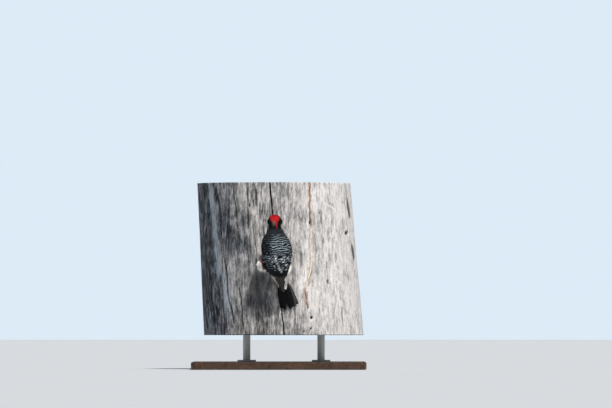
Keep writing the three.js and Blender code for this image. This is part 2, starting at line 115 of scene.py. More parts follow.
def set_attribute(piece, name, values, kind="FLOAT"):
    values = np.asarray(values, np.float32)
    field = {"FLOAT": "value", "FLOAT_VECTOR": "vector", "FLOAT_COLOR": "color"}[kind]
    if kind == "FLOAT_COLOR" and values.shape[1] == 3:
        values = np.concatenate([values, np.ones((len(values), 1), np.float32)], 1)
    attribute = piece.data.attributes.new(name, kind, "POINT")
    attribute.data.foreach_set(field, values.ravel())


def grid_faces(rows, columns, wrap):
    """Quads of a grid of points, row after row. With wrap, the last column joins the first."""
    row, column = np.meshgrid(np.arange(rows - 1), np.arange(columns - (0 if wrap else 1)), indexing="ij")
    beside = (column + 1) % columns
    return np.stack([row * columns + column, row * columns + beside,
                     (row + 1) * columns + beside, (row + 1) * columns + column], -1).reshape(-1, 4)


def log_radius(z):
    return LOG_RADIUS - LOG_TAPER * (z - CLING_HEIGHT)


def log_middle(z):
    return -(z - CLING_HEIGHT) * LOG_LEAN


# Places on the trunk's front, in millimetres from the feet: the beetle's gallery, the bored holes with their
# half widths and half heights, and the short drying checks with their tops, bottoms and half widths
GALLERY_HEIGHTS = np.array([-73, -58, -43, -24, -4, 25, 54, 64, 96, 128])
GALLERY_ACROSS = np.array([46.4, 44.6, 42, 48, 52.8, 51.4, 51.8, 50.9, 49.6, 50.1])
HOLES = [(-47.7, 91, 1.5, 2.2), (79, -32, 1.9, 4.2), (52.8, -89.4, 2.1, 2.4), (51.8, -107, 1.7, 1.9),
         (40.3, -111.5, 1.2, 1.4), (50.6, 64, 1.5, 4.5), (110, 47, 3.2, 3.4), (-71, 38, 1, 1.3)]
CHECKS = [(-25, 84, 30, 0.7), (-50.5, 128, 96, 0.9), (-38, 64, -8, 0.6), (-70, 118, 52, 1.0),
          (-96, 120, 40, 1.4), (-84, 10, -70, 1.1), (-60, -40, -112, 1.2), (-33, -70, -116, 0.7),
          (113, 104, 70, 1.9), (120, 30, 2, 1.7), (-108, 0, -110, 1.3), (-76, -64, -100, 1.6),
          (-49, 10, -22, 0.6), (103, -70, -104, 0.8)]

# The bleached bands and a patch of painted shadow under the bird, each with its top, bottom and half width,
# and the two ends of a long pale scratch
BLEACHED = [(-103.5, 128, -22, 4.2), (-84, -16, -84, 5.2), (-112, -70, -117, 3.0)]
SCRATCH = ((56, 112), (93, 81))
PAINTED_SHADOW_PATCH = (-34, -16, -72, 22)
CRACK_WANDER = 0.9 * MM
CRACK_PINCH = 0.6
WAVE_HEIGHT, FIBRE_HEIGHT, FINE_HEIGHT = 0.9, 0.55, 0.3
CHECK_DEPTH, SHORT_CHECK_DEPTH = 2.6, 1.6
WORN_IN = 0.55
RELIEF_LIMIT = 0.15
HOLE_DEPTH = 5 * MM
END_RINGS = (0.985, 0.93, 0.82, 0.66, 0.48, 0.3, 0.14)
SLIT_FROM, SLIT_HEART = 0.3, 0.86


def log_columns():
    """How far round the trunk from the crack each column of points is: closest together at the crack."""
    near = np.array([0, 0.25, 0.55, 0.8, 0.95, 1.08, 1.3, 1.7]) * CRACK_HALF_WIDTH
    margin = 2.6 * CRACK_HALF_WIDTH
    turn = 2 * math.pi * LOG_RADIUS
    far = np.linspace(margin, turn - margin, LOG_COLUMNS - 2 * len(near) + 1)
    arc = np.concatenate([near, far, turn - near[:0:-1]])
    return np.where(arc > turn / 2, arc - turn, arc)


def dug_out(x_mm, z_mm, facing, relief, check):
    """The bored holes, and the relief and the checks once the short checks have opened."""
    bored = np.zeros_like(z_mm)
    for hole_x, hole_z, half_width, half_height in HOLES:
        reach = np.hypot((x_mm - hole_x) / half_width, (z_mm - hole_z) / half_height)
        bored = np.maximum(bored, np.where(facing, 1 - smoothstep(0.5, 1.2, reach), 0))
    for check_x, top, bottom, half_width in CHECKS:
        middle = (top + bottom) / 2
        span = (z_mm - middle) / ((top - bottom) / 2)
        drift = check_x - (z_mm - middle) * CRACK_LEAN + 0.7 * np.sin(z_mm / 9 + check_x)
        narrow = half_width * np.sqrt(np.clip(1 - span ** 2, 0, 1)) + 0.01
        beside = np.abs(x_mm - drift) / narrow
        opened = np.where(facing & (np.abs(span) < 1), 1 - smoothstep(0.5, 1.5, beside), 0)
        check = np.maximum(check, 0.84 + 0.14 * opened * (opened > 0.02))
        relief = relief - SHORT_CHECK_DEPTH * opened
    return bored, relief, check


def weathering_and_painted_shadow(x_mm, z_mm, facing, frayed):
    """The bleached bands, the painted shadow under the bird and the long pale scratch, each from 0 to 1."""
    bleach = np.zeros_like(z_mm)
    for band_x, top, bottom, half_width in BLEACHED:
        drift = band_x - (z_mm - (top + bottom) / 2) * CRACK_LEAN + frayed
        ended = smoothstep(bottom - 8, bottom + 8, z_mm) * (1 - smoothstep(top - 8, top + 8, z_mm))
        beside = np.abs(x_mm - drift) / half_width
        bleach = np.maximum(bleach, facing * ended * (1 - smoothstep(0.6, 1.3, beside)))
    # a dark bluish patch painted where the bird's shadow falls on the trunk: painted shadow
    shadow_x, top, bottom, half_width = PAINTED_SHADOW_PATCH
    ended = smoothstep(bottom - 10, bottom + 6, z_mm) * (1 - smoothstep(top - 8, top + 8, z_mm))
    painted_shadow = facing * ended * (1 - smoothstep(0.55, 1.25, np.abs(x_mm - shadow_x + 3 * frayed) / half_width))
    (start_x, start_z), (stop_x, stop_z) = SCRATCH
    share = (x_mm - start_x) / (stop_x - start_x)
    off = z_mm - start_z - (stop_z - start_z) * share - 1.5 * np.sin(share * 9)
    off = np.abs(off) / (0.8 + 0.8 * share)
    scratch = facing * (share > 0) * (share < 1) * (1 - smoothstep(0.5, 1.4, off)) * 0.8
    return bleach, painted_shadow, scratch


def sawn_ends(points, groove):
    """Rings of points that close each sawn end towards its heart, and the faces between them."""
    rows, columns = points.shape[:2]
    ends, quads, triangles = [], [], []
    start = rows * columns
    for end, (row, z_end) in enumerate(((0, LOG_BOTTOM), (rows - 1, LOG_TOP))):
        heart = np.array([log_middle(z_end), LOG_AXIS_Y, z_end])
        slit = groove[row][:, None] > SLIT_FROM
        outer = row * columns + np.arange(columns)
        for share in END_RINGS:
            ring = heart + (points[row] - heart) * np.where(slit, np.minimum(1, share / SLIT_HEART), share)
            ring[:, 2] = z_end
            ends.append(ring)
            inner = start + np.arange(columns)
            quad = np.stack([outer, np.roll(outer, -1), np.roll(inner, -1), inner], -1)
            quads.append(quad if end else quad[:, ::-1])
            outer, start = inner, start + columns
        ends.append(heart[None, :])
        triangle = np.stack([outer, np.roll(outer, -1), np.full(columns, start)], -1)
        triangles.append(triangle if end else triangle[:, ::-1])
        start += 1
    return ends, quads, triangles


def build_log():
    rng = np.random.default_rng(11)
    lattices = [noise_lattice(rng, 256) for _ in range(6)]
    arc = log_columns()
    z = np.linspace(LOG_BOTTOM, LOG_TOP, LOG_ROWS)[:, None] + 0 * arc[None, :]
    rise = z - CLING_HEIGHT
    radius = log_radius(z)
    crack_x = CRACK_MIDDLE - rise * CRACK_LEAN - log_middle(z)
    wander = CRACK_WANDER * (value_noise(lattices[0], 5 + 0 * z, z / (9 * MM)) - 0.5)
    gape = 0.62 + 0.75 * value_noise(lattices[1], 9 + 0 * z, z / (13 * MM))
    at_crack = np.abs(arc) < 2 * CRACK_HALF_WIDTH
    angle = (crack_x + wander) / radius + arc * np.where(at_crack, gape, 1) / LOG_RADIUS
    grain = angle * radius - rise * (CRACK_LEAN - LOG_LEAN) * 0.4
    # long shallow waves, fibres, and short checks that open along the grain
    wave = value_noise(lattices[2], grain / (17 * MM), z / (90 * MM)) - 0.5
    fibre = value_noise(lattices[3], grain / (2.6 * MM), z / (38 * MM)) - 0.5
    fine = value_noise(lattices[4], grain / (1.25 * MM), z / (16 * MM)) - 0.5
    sunny_side = smoothstep(-0.35, 0.6, np.sin(angle)) * (np.cos(angle) > -0.4)
    check = value_noise(lattices[5], grain / (5.2 * MM), z / (47 * MM)) - 0.12 * sunny_side
    relief = WAVE_HEIGHT * wave + FIBRE_HEIGHT * fibre + FINE_HEIGHT * fine
    relief = relief - CHECK_DEPTH * smoothstep(0.86, 0.98, check) - WORN_IN
    groove = 1 - smoothstep(0.5, 1.15, (np.abs(arc) + 0 * z) / CRACK_HALF_WIDTH)
    # the gallery: a raised cast with worn edges, open near its ends
    x_mm, z_mm = (radius * np.sin(angle) + log_middle(z)) / MM, rise / MM
    facing = np.cos(angle) > 0
    route = np.interp(z_mm, GALLERY_HEIGHTS, GALLERY_ACROSS)
    route = route + 0.5 * np.sin(z_mm / 3.1) + 0.4 * np.sin(z_mm / 7.3)
    from_gallery = np.abs(x_mm - route)
    kept = smoothstep(-76, -72, z_mm)
    cast = smoothstep(-48, -38, z_mm) * (1 - smoothstep(50, 62, z_mm))
    gallery = np.where(facing, (1 - smoothstep(0.9, 1.9, from_gallery)) * kept, 0)
    lip = np.where(facing, np.exp(-((from_gallery - 2.4) / 0.9) ** 2) * kept, 0)
    relief = relief + gallery * (0.5 * cast - 1.1 * (1 - cast)) - 0.5 * lip * cast
    bored, relief, check = dug_out(x_mm, z_mm, facing, relief, check)
    relief = np.minimum(relief, RELIEF_LIMIT)
    frayed = 1.5 * (value_noise(lattices[4], 7 + 0 * z, z / (5 * MM)) - 0.5)
    bleach, painted_shadow, scratch = weathering_and_painted_shadow(x_mm, z_mm, facing, frayed)
    # the crack narrows inwards
    r = radius + relief * MM - np.maximum(CRACK_DEPTH * groove, HOLE_DEPTH * bored)
    pinch = np.where(groove > SLIT_FROM, 1 - CRACK_PINCH * groove, 1)
    inner_angle = (crack_x + wander) / radius
    angle = np.where(at_crack, inner_angle + (angle - inner_angle) * pinch, angle)
    points = np.stack([log_middle(z) + r * np.sin(angle), LOG_AXIS_Y - r * np.cos(angle), z], -1)
    side = points.reshape(-1, 3)
    ends, end_quads, end_triangles = sawn_ends(points, groove)
    vertices = np.concatenate([side] + ends)
    log = new_mesh("dead_trunk", vertices, [grid_faces(LOG_ROWS, len(arc), True)] + end_quads + end_triangles)
    sawn = len(vertices) - len(side)
    marks = {"crack": np.maximum(groove, bored), "gallery": gallery, "bleach": bleach, "painted_shadow": painted_shadow,
             "scratch": scratch, "cast": gallery * cast, "lip": lip, "check": smoothstep(0.84, 0.96, check)}
    for name, values in marks.items():
        set_attribute(log, name, np.append(values.ravel(), np.zeros(sawn)))
    set_attribute(log, "end", np.append(np.zeros(len(side)), np.ones(sawn)))
    return log


class Nodes:
    """One material with its shader, and short ways to add its nodes."""

    def __init__(self, name):
        self.material = bpy.data.materials.new(name)
        self.material.use_nodes = True
        self.tree = self.material.node_tree
        self.tree.nodes.clear()
        self.shader = self.add("ShaderNodeBsdfPrincipled")
        self.add("ShaderNodeOutputMaterial", {"Surface": self.shader.outputs[0]})

    def finish(self, colour, roughness, normal=None, **plain):
        """Gives the shader its looks; the plain ones are numbers on its own sockets."""
        looks = {"Base Color": colour, "Roughness": roughness}
        if normal is not None:
            looks["Normal"] = normal
        looks.update({name.replace("_", " "): value for name, value in plain.items()})
        for socket, value in looks.items():
            self.put(self.shader.inputs[socket], value)
        return self.material

    def add(self, kind, inputs=(), **settings):
        node = self.tree.nodes.new(kind)
        for key, value in settings.items():
            setattr(node, key, value)
        for socket, value in dict(inputs).items():
            self.put(node.inputs[socket], value)
        return node

    def put(self, socket, value):
        if isinstance(value, bpy.types.NodeSocket):
            self.tree.links.new(value, socket)
        else:
            socket.default_value = value

    def math(self, operation, *values):
        return self.add("ShaderNodeMath", enumerate(values), operation=operation).outputs[0]

    def plus(self, one, other):
        return self.math("ADD", one, other)

    def minus(self, one, other):
        return self.math("SUBTRACT", one, other)

    def times(self, one, other):
        return self.math("MULTIPLY", one, other)

    def attribute(self, name, output="Fac"):
        return self.add("ShaderNodeAttribute", attribute_name=name).outputs[output]

    def noise(self, vector, scale, detail=3.0, roughness=0.55, distortion=0.0):
        inputs = {"Vector": vector, "Scale": scale, "Detail": detail, "Roughness": roughness,
                  "Distortion": distortion}
        return self.add("ShaderNodeTexNoise", inputs).outputs["Fac"]

    def ramp(self, value, stops):
        node = self.add("ShaderNodeValToRGB", {"Fac": value})
        elements = node.color_ramp.elements
        while len(elements) < len(stops):
            elements.new(0.5)
        for element, (position, colour) in zip(elements, stops):
            element.position = position
            element.color = (*colour, 1)
        return node.outputs["Color"]

    def steps(self, value, low, high, to_low=0.0, to_high=1.0):
        inputs = {"Value": value, "From Min": low, "From Max": high, "To Min": to_low, "To Max": to_high}
        return self.add("ShaderNodeMapRange", inputs, interpolation_type="SMOOTHSTEP").outputs[0]

    def mix(self, factor, one, other, blend="MIX"):
        node = self.add("ShaderNodeMix", data_type="RGBA", blend_type=blend)
        for socket, value in ((node.inputs[0], factor), (node.inputs[6], one), (node.inputs[7], other)):
            self.put(socket, (*value, 1) if isinstance(value, tuple) else value)
        return node.outputs[2]

    def bump(self, height, strength, distance):
        inputs = {"Height": height, "Strength": strength, "Distance": distance}
        return self.add("ShaderNodeBump", inputs).outputs[0]

    def coordinates(self, scale=(1, 1, 1), rotation=(0, 0, 0), location=(0, 0, 0)):
        source = self.add("ShaderNodeTexCoord").outputs["Object"]
        inputs = {"Vector": source, "Location": location, "Rotation": rotation, "Scale": scale}
        return self.add("ShaderNodeMapping", inputs).outputs[0]


def wood_tones(darkest, dark, middle, light, lightest, tint):
    """The greys of the wood, from the hollows of the grain to its ridges, in one tint."""
    stops = zip((0.40, 0.44, 0.495, 0.55, 0.592), (darkest, dark, middle, light, lightest))
    return [(place, tuple(grey * share for share in tint)) for place, grey in stops]


def wood_material():
    n = Nodes("weathered_wood")
    lean = (0, math.atan(LOG_LEAN), 0)

    def grain(stretch, scale, detail, roughness, distortion=0.0, location=(0, 0, 0)):
        """Noise that is drawn out along the trunk."""
        place = n.coordinates(scale=(1, 1, stretch), rotation=lean, location=location)
        return n.noise(place, scale, detail, roughness, distortion)

    long_grain = grain(0.11, 330, 5, 0.72, 0.2)
    short_grain = grain(0.26, 340, 5, 0.78, 0.4, (2, 4, 1))
    blotches = grain(0.42, 84, 5, 0.7, location=(3, 1, 2))
    patches = grain(0.45, 26, 4, 0.6, location=(1, 5, 2))
    threads = grain(0.05, 950, 3, 0.6)
    specks = n.noise(n.coordinates(scale=(1, 1, 0.5)), 2600, 3, 0.7)
    tone = 0.0
    for noise, share in ((long_grain, 0.29), (short_grain, 0.35), (blotches, 0.29), (patches, 0.07)):
        tone = n.plus(n.times(noise, share), tone)
    tone = n.plus(tone, n.times(n.minus(specks, 0.5), 0.09))
    # the side away from the sun is darker and bluish, partly dark weathering and partly painted shade,
    # and the other one is bleached
    place = n.add("ShaderNodeSeparateXYZ", {0: n.coordinates(rotation=lean)}).outputs[0]
    wavering = n.plus(place, n.times(n.minus(patches, 0.5), 0.16))
    dark_side_with_painted_shade = n.ramp(tone, wood_tones(0.010, 0.026, 0.08, 0.27, 0.45, (0.90, 1.0, 1.17)))
    middle = n.ramp(tone, wood_tones(0.045, 0.115, 0.31, 0.58, 0.74, (1.03, 1.0, 0.99)))
    pale_side = n.ramp(tone, wood_tones(0.18, 0.40, 0.66, 0.83, 0.90, (1.03, 0.99, 0.97)))
    colour = n.mix(n.steps(wavering, -0.09, -0.025), dark_side_with_painted_shade, middle)
    colour = n.mix(n.steps(wavering, 0.018, 0.098), colour, pale_side)
    # painted shadow under the bird, bleached bands, dark threads of the grain, warm stains, the scratch,
    # and the drying checks
    bleach = n.times(n.attribute("bleach"), n.steps(tone, 0.43, 0.52, 0.15, 0.85))
    thread = n.times(n.steps(threads, 0.40, 0.34), n.steps(wavering, 0.08, -0.06, 0.35, 0.8))
    for share, over in ((n.times(n.attribute("painted_shadow"), 0.74), (0.04, 0.045, 0.058)),
                        (bleach, (0.38, 0.44, 0.50)),
                        (thread, (0.045, 0.042, 0.044)),
                        (n.steps(blotches, 0.53, 0.7, 0, 0.32), (0.46, 0.35, 0.27)),
                        (n.attribute("scratch"), (0.86, 0.84, 0.8)),
                        # the drying checks are painted dark as shade in their grooves
                        (n.times(n.attribute("check"), 0.85), (0.025, 0.022, 0.022))):
        colour = n.mix(share, colour, over)
    # the gallery, its cast of packed dust and its worn lip, and the deep crack and bored holes, painted near
    # black as painted shade in their depths
    dust = n.noise(n.coordinates(scale=(1, 1, 0.5)), 300, 3, 0.6)
    tunnel = n.ramp(dust, [(0.35, (0.06, 0.03, 0.018)), (0.52, (0.3, 0.15, 0.075)), (0.7, (0.5, 0.36, 0.24))])
    cast = n.ramp(dust, [(0.3, (0.6, 0.47, 0.35)), (0.55, (0.86, 0.78, 0.68))])
    worn = n.times(n.attribute("lip"), n.steps(dust, 0.45, 0.6, 0, 0.7))
    for share, over in ((n.attribute("gallery"), tunnel), (n.attribute("cast"), cast),
                        (worn, (0.28, 0.16, 0.09)), (n.attribute("crack"), (0.005, 0.004, 0.004))):
        colour = n.mix(share, colour, over)
    # the sawn ends: year rings of uneven breadth round the heart, saw marks, and a greyed rim
    heart = n.coordinates(location=(0, -LOG_AXIS_Y, 0), scale=(1, 1, 0))
    distance = n.add("ShaderNodeVectorMath", {0: heart}, operation="LENGTH").outputs["Value"]
    wobble = n.times(n.noise(heart, 14, 3), 0.03)
    years = n.add("ShaderNodeCombineXYZ", {0: n.plus(distance, wobble)}).outputs[0]
    rings = n.noise(years, 420, 2, 0.5)
    pores = n.noise(heart, 900, 4, 0.7)
    saw = n.plus(n.times(rings, 0.62), n.times(pores, 0.38))
    sawn = n.ramp(saw, [(0.34, (0.17, 0.12, 0.08)), (0.5, (0.36, 0.28, 0.2)), (0.66, (0.52, 0.44, 0.34))])
    sawn = n.mix(n.steps(distance, 0.085, 0.125, 0, 0.65), sawn, (0.3, 0.28, 0.26))
    raised = n.plus(n.times(tone, 1.3), n.times(n.steps(threads, 0.36, 0.42), 0.35))
    return n.finish(n.mix(n.attribute("end"), colour, sawn), n.steps(tone, 0.4, 0.6, 0.95, 0.8),
                    n.bump(raised, 0.7, 0.0012), Specular_IOR_Level=0.25)


log = build_log()
log.data.materials.append(wood_material())
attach(log, "root")
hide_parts("perch_log")


# The display stand: a flat base of dark oiled wood with eased edges, and two short rods of brushed steel
# with flanges, which carry the trunk. The solids stay, and get their finishes.

def oiled_wood():
    n = Nodes("oiled_wood")
    figure = n.noise(n.coordinates(scale=(1, 0.06, 1)), 90, 5, 0.6, 1.2)
    pores = n.noise(n.coordinates(scale=(1, 0.03, 1)), 1400, 3, 0.6)
    colour = n.ramp(figure, [(0.3, (0.022, 0.011, 0.007)), (0.5, (0.06, 0.03, 0.016)),
                             (0.7, (0.115, 0.058, 0.03))])
    colour = n.mix(n.steps(pores, 0.56, 0.7, 0, 0.7), colour, (0.012, 0.007, 0.005))
    return n.finish(colour, n.steps(figure, 0.3, 0.7, 0.42, 0.3), n.bump(pores, 0.25, 0.0003))


def brushed_steel():
    n = Nodes("brushed_steel")
    rings = n.noise(n.coordinates(scale=(0.05, 0.05, 1)), 2600, 4, 0.7)
    colour = n.ramp(rings, [(0.3, (0.4, 0.4, 0.39)), (0.7, (0.56, 0.56, 0.55))])
    return n.finish(colour, n.steps(rings, 0.3, 0.7, 0.26, 0.4), n.bump(rings, 0.12, 0.0002), Metallic=1.0)


def refinish(node, material):
    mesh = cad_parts[node].data
    mesh.materials.clear()
    mesh.materials.append(material)


refinish("stand_base", oiled_wood())
steel = brushed_steel()
for side in ("left", "right"):
    refinish(f"stand_rod_{side}", steel)


# The skin: one closed surface under all the feathers, from the bill's root to under the tail, with the
# thighs and the folded wings' flesh in it. It is made from the solids of flesh, joined without their seams,
# and lies inside them by the depth of the feathers.

FLESH = ("head", "neck", "trunk", "thigh_left", "thigh_right", "wing_left", "wing_right")
BIRD_ORIGIN = np.array([0, LOG_AXIS_Y - LOG_RADIUS, CLING_HEIGHT])
HEAD_MIDDLE = np.array([-6.2, -46.5, 63.6])
BRIDGED = 0.45 * MM
VOXEL = 0.62 * MM
FLESH_SMOOTHING, SKIN_SMOOTHING = 14, 4
SHRINK_STEPS = 3
RELAXING = 3
KNUCKLE_RADIUS = 1.5 * MM
COAT_DEPTH, SHANK_COAT_DEPTH = 1.45, 0.7
THINNER_ON_HEAD, THINNER_ON_FACE = 0.6, 0.25
SLICE_LEVELS = np.arange(-40, 76, 2.0)
SLICE_HALF = 1.5
TORSO_HALF = 24
TORSO_MIDDLE, BODY_LEAN = 2, 0.135


def bird_mm(points):
    """Places in millimetres from the feet: x across, -y out from the trunk, z up."""
    return (np.asarray(points) - BIRD_ORIGIN) / MM


def metres(bird_points):
    return np.asarray(bird_points) * MM + BIRD_ORIGIN


def unit(vectors):
    return vectors / np.maximum(np.linalg.norm(vectors, axis=-1, keepdims=True), 1e-12)


def merged_copy(name, nodes, grown, knuckle=None):
    """The solids of some nodes in one mesh, each grown a little, with a ball where a knuckle is given."""
    joined = bmesh.new()
    for node in nodes:
        joined.from_mesh(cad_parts[node].data)
    bmesh.ops.remove_doubles(joined, verts=joined.verts, dist=1e-6)
    if knuckle is not None:
        place = Matrix.Translation(Vector(metres(knuckle)))
        bmesh.ops.create_icosphere(joined, subdivisions=3, radius=KNUCKLE_RADIUS, matrix=place)
    joined.normal_update()
    moves = [vertex.co + vertex.normal * grown for vertex in joined.verts]
    for vertex, place in zip(joined.verts, moves):
        vertex.co = place
    mesh = bpy.data.meshes.new(name)
    joined.to_mesh(mesh)
    joined.free()
    piece = bpy.data.objects.new(name, mesh)
    bpy.context.scene.collection.objects.link(piece)
    return piece


def numbers_of(items, field, kind, width):
    """A field of a mesh's points or loops, as rows of some width."""
    flat = np.empty(len(items) * (3 if field == "co" else 1), kind)
    items.foreach_get(field, flat)
    return flat.reshape(-1, width)


def remeshed(piece, voxel, smoothing):
    """The points and the quads of the piece's largest closed body, remade from voxels and smoothed."""
    cells = piece.modifiers.new("cells", "REMESH")
    cells.mode = "VOXEL"
    cells.voxel_size = voxel
    evened = piece.modifiers.new("evened", "SMOOTH")
    evened.iterations = smoothing
    mesh = bpy.data.meshes.new_from_object(piece.evaluated_get(bpy.context.evaluated_depsgraph_get()))
    points = numbers_of(mesh.vertices, "co", float, 3)
    quads = numbers_of(mesh.loops, "vertex_index", np.int64, 4)
    bpy.data.objects.remove(piece)
    label = np.arange(len(points))
    while True:
        spread = label.copy()
        np.minimum.at(spread, quads.ravel(), np.repeat(label[quads].min(1), 4))
        spread = spread[spread]
        if (spread == label).all():
            break
        label = spread
    kept = label == np.bincount(label).argmax()
    renumbered = np.cumsum(kept) - 1
    return points[kept], renumbered[quads[kept[quads[:, 0]]]]


def surface_normals(points, quads):
    a, b, c, d = (points[quads[:, i]] for i in range(4))
    facing = np.cross(c - a, d - b)
    total = np.zeros_like(points)
    for i in range(4):
        np.add.at(total, quads[:, i], facing)
    return unit(total)


def relaxed(points, quads, times):
    ends = np.concatenate([quads[:, [0, 1]], quads[:, [1, 2]], quads[:, [2, 3]], quads[:, [3, 0]]])
    count = np.bincount(ends[:, 0], minlength=len(points)).astype(float)[:, None]
    for _ in range(times):
        total = np.zeros_like(points)
        np.add.at(total, ends[:, 0], points[ends[:, 1]])
        points = 0.5 * points + 0.5 * total / count
    return points


def coat_depth(bird_points):
    """How far under the feathers' outline the skin lies, least on the face and the lower leg."""
    _, y, z = bird_points.T
    face = smoothstep(-6, 12, y - HEAD_MIDDLE[1]) * smoothstep(48, 58, z)
    head = smoothstep(44, 60, z)
    shank = smoothstep(-24, -16, y) * (1 - smoothstep(0, 10, z)) * smoothstep(-30, -18, z)
    depth = COAT_DEPTH - THINNER_ON_HEAD * head - THINNER_ON_FACE * face
    return (depth - (depth - SHANK_COAT_DEPTH) * shank) * MM


def build_skin():
    points, quads = remeshed(merged_copy("flesh", FLESH, BRIDGED), VOXEL, FLESH_SMOOTHING)
    for _ in range(SHRINK_STEPS):
        depth = (BRIDGED + coat_depth(bird_mm(points))) / SHRINK_STEPS
        points = points - surface_normals(points, quads) * depth[:, None]
        points = relaxed(points, quads, RELAXING)
    shrunk = new_mesh("shrunk_flesh", points, [quads])
    points, quads = remeshed(shrunk, VOXEL, SKIN_SMOOTHING)
    return new_mesh("skin", points, [quads]), points, quads


skin, skin_points, skin_quads = build_skin()
skin_ups = surface_normals(skin_points, skin_quads)
face_ups = skin_ups[skin_quads].mean(1)
skin_tree = BVHTree.FromPolygons(skin_points.tolist(), skin_quads.tolist())


def settle(points):
    """The nearest places on the skin, with the directions straight out of it."""
    found = [skin_tree.find_nearest(point) for point in points.tolist()]
    return np.array([hit[0] for hit in found]), unit(face_ups[np.array([hit[2] for hit in found])])


def relaxed_rows(rows, times):
    """Rows of numbers, each drawn towards the ones beside it."""
    for _ in range(times):
        rows[1:-1] = (rows[:-2] + 2 * rows[1:-1] + rows[2:]) / 4
    return rows


def slices():
    """The body's middle line and half sizes at each height, as measured on the skin."""
    places = bird_mm(skin_points)
    rows = []
    for level in SLICE_LEVELS:
        near = places[np.abs(places[:, 2] - level) < SLICE_HALF]
        torso = near[np.abs(near[:, 0] + TORSO_MIDDLE - BODY_LEAN * -level) < TORSO_HALF]
        low, high = torso.min(0), torso.max(0)
        rows.append([*(low[:2] + high[:2]) / 2, *(high[:2] - low[:2]) / 2])
    return relaxed_rows(np.array(rows), 2)


SECTIONS = slices()


def section(z):
    return [np.interp(z, SLICE_LEVELS, SECTIONS[:, i]) for i in range(4)]


def turn_round_body(bird_points):
    """The angle round the body in degrees: 0 along the back, 90 on the right side, -90 on the left."""
    x, y, z = bird_points.T
    middle_x, middle_y, half_width, half_depth = section(z)
    return np.degrees(np.arctan2((x - middle_x) / half_width, -(y - middle_y) / half_depth))


# The markings, which the skin and all its feathers share: colours and rules that work from the place on the
# body, and one material for all the plumage. With them the skin gets its own finish.

BLACK = np.array([0.0052, 0.0075, 0.011])
SLATE = np.array([0.030, 0.041, 0.050])
RED = np.array([0.76, 0.022, 0.032])
GOLD = np.array([0.80, 0.47, 0.05])
WHITE = np.array([0.80, 0.79, 0.75])
SPOT_WHITE = WHITE * 1.1
GREY_WHITE = np.array([0.56, 0.60, 0.60])
BUFF = np.array([0.58, 0.51, 0.38])
OLIVE = np.array([0.30, 0.27, 0.205])
DUSKY = np.array([0.075, 0.068, 0.06])
ROSE = np.array([0.66, 0.19, 0.12])
NAPE_BROWN = np.array([0.221, 0.1275, 0.0765])
BAR_GREY = np.array([0.35, 0.42, 0.465])
BAR_PATCHES = noise_lattice(np.random.default_rng(5), 128)
BAR_TOP = 42.0
BAR_BOTTOM = 7.0
BAR_PITCH = 3.75
BAR_SHARE = 0.33
BAR_EDGE = 0.05
FLANK_BAR_PITCH = 4.6
BARB_SLANT = 1.3
BARB_PITCH = 0.42

# Where the loose flank feathers stand out, on the left and the right: the middles and half sizes of two
# rounded masses
FLANK_MASSES = ((np.array([-19.5, -28, 0]), np.array([12.5, 11.5, 18])),
                (np.array([11.5, -28, 1]), np.array([11, 11, 19])))

# The larger white spots on the folded wings, a chain of them down the inner edge of the left one: their
# places over the feet, with their half widths and half heights
SPOTS = [(-5.2, 9.2, 1.7, 0.9), (-4.4, 5.2, 2.1, 1.4), (-3.4, 1.2, 1.9, 1.1), (-2.4, -2.7, 2.1, 1.5),
         (-0.6, -6.6, 2.1, 1.3), (0.6, -9.8, 1.9, 1.4), (2.2, -13, 1.9, 1.3), (4.4, -16.2, 1.7, 1.2),
         (7.6, -0.5, 1.9, 1.1), (12.2, -5, 1.7, 1.1), (11.6, -12.4, 1.6, 1.0), (4.4, 4, 1.5, 0.9),
         (14.4, 5.8, 1.5, 0.9), (-10.4, 0, 1.2, 0.7), (-14.4, 5, 1.2, 0.7), (-7.2, -7, 1.2, 0.7)]


def white_spots(x, z):
    """1 in the larger white spots, 0 elsewhere."""
    spotted = np.zeros(len(x))
    for spot_x, spot_z, half_width, half_height in SPOTS:
        near = np.hypot((x - spot_x) / half_width, (z - spot_z - 0.35 * (x - spot_x)) / half_height)
        spotted = np.maximum(spotted, 1 - smoothstep(0.7, 1.1, near))
    return spotted


def blend(one, other, share):
    share = np.asarray(share)[:, None]
    return one * (1 - share) + other * share


def all_over(colour, places):
    return np.tile(colour, (len(places), 1))


def wing_edges(z):
    """The angles round the body of the folded wing's inner and outer edges, in degrees."""
    down = (44 - z) / 90
    inner = 34 + (2 - 34) * np.clip(down / 0.45, 0, 1) ** 1.2
    outer = 112 - 96 * smoothstep(0.45, 1.15, down)
    return inner, outer


def bar_turns(x, z):
    """The phase of the wavy bars, in turns: they rise to the right over the right scapulars."""
    wave = (0.5 * np.sin(x / 1.5 + z * 0.35) + 0.45 * np.sin(x / 3.1 + 1.3 + z * 0.12)
            + 0.3 * np.sin(z / 2.1 + x * 0.2))
    raised = 0.16 * np.maximum(x - 1, 0) - 0.05 * np.maximum(-x - 12, 0)
    jumble = np.maximum(smoothstep(22, 8, z), 0.7 * smoothstep(9, 15, x))
    wave = wave + 4.4 * jumble * (value_noise(BAR_PATCHES, x / 2.3 + 40, z / 2.0 + 60) - 0.5)
    wave = wave + 2.2 * (value_noise(BAR_PATCHES, x / 6.0 + 80, z / 5.0 + 60) - 0.5)
    return (z - raised + wave) / BAR_PITCH


def on_flank(bird_points):
    """1 on the loose flank feathers that stand out past the wings, 0 elsewhere."""
    masks = []
    for middle, halves in FLANK_MASSES:
        reach = np.linalg.norm((bird_points - middle) / halves, axis=1)
        outside = smoothstep(0, 3, (bird_points[:, 0] - middle[0]) * np.sign(middle[0] + 4))
        masks.append((1 - smoothstep(1.06, 1.16, reach)) * outside)
    return np.maximum(*masks)


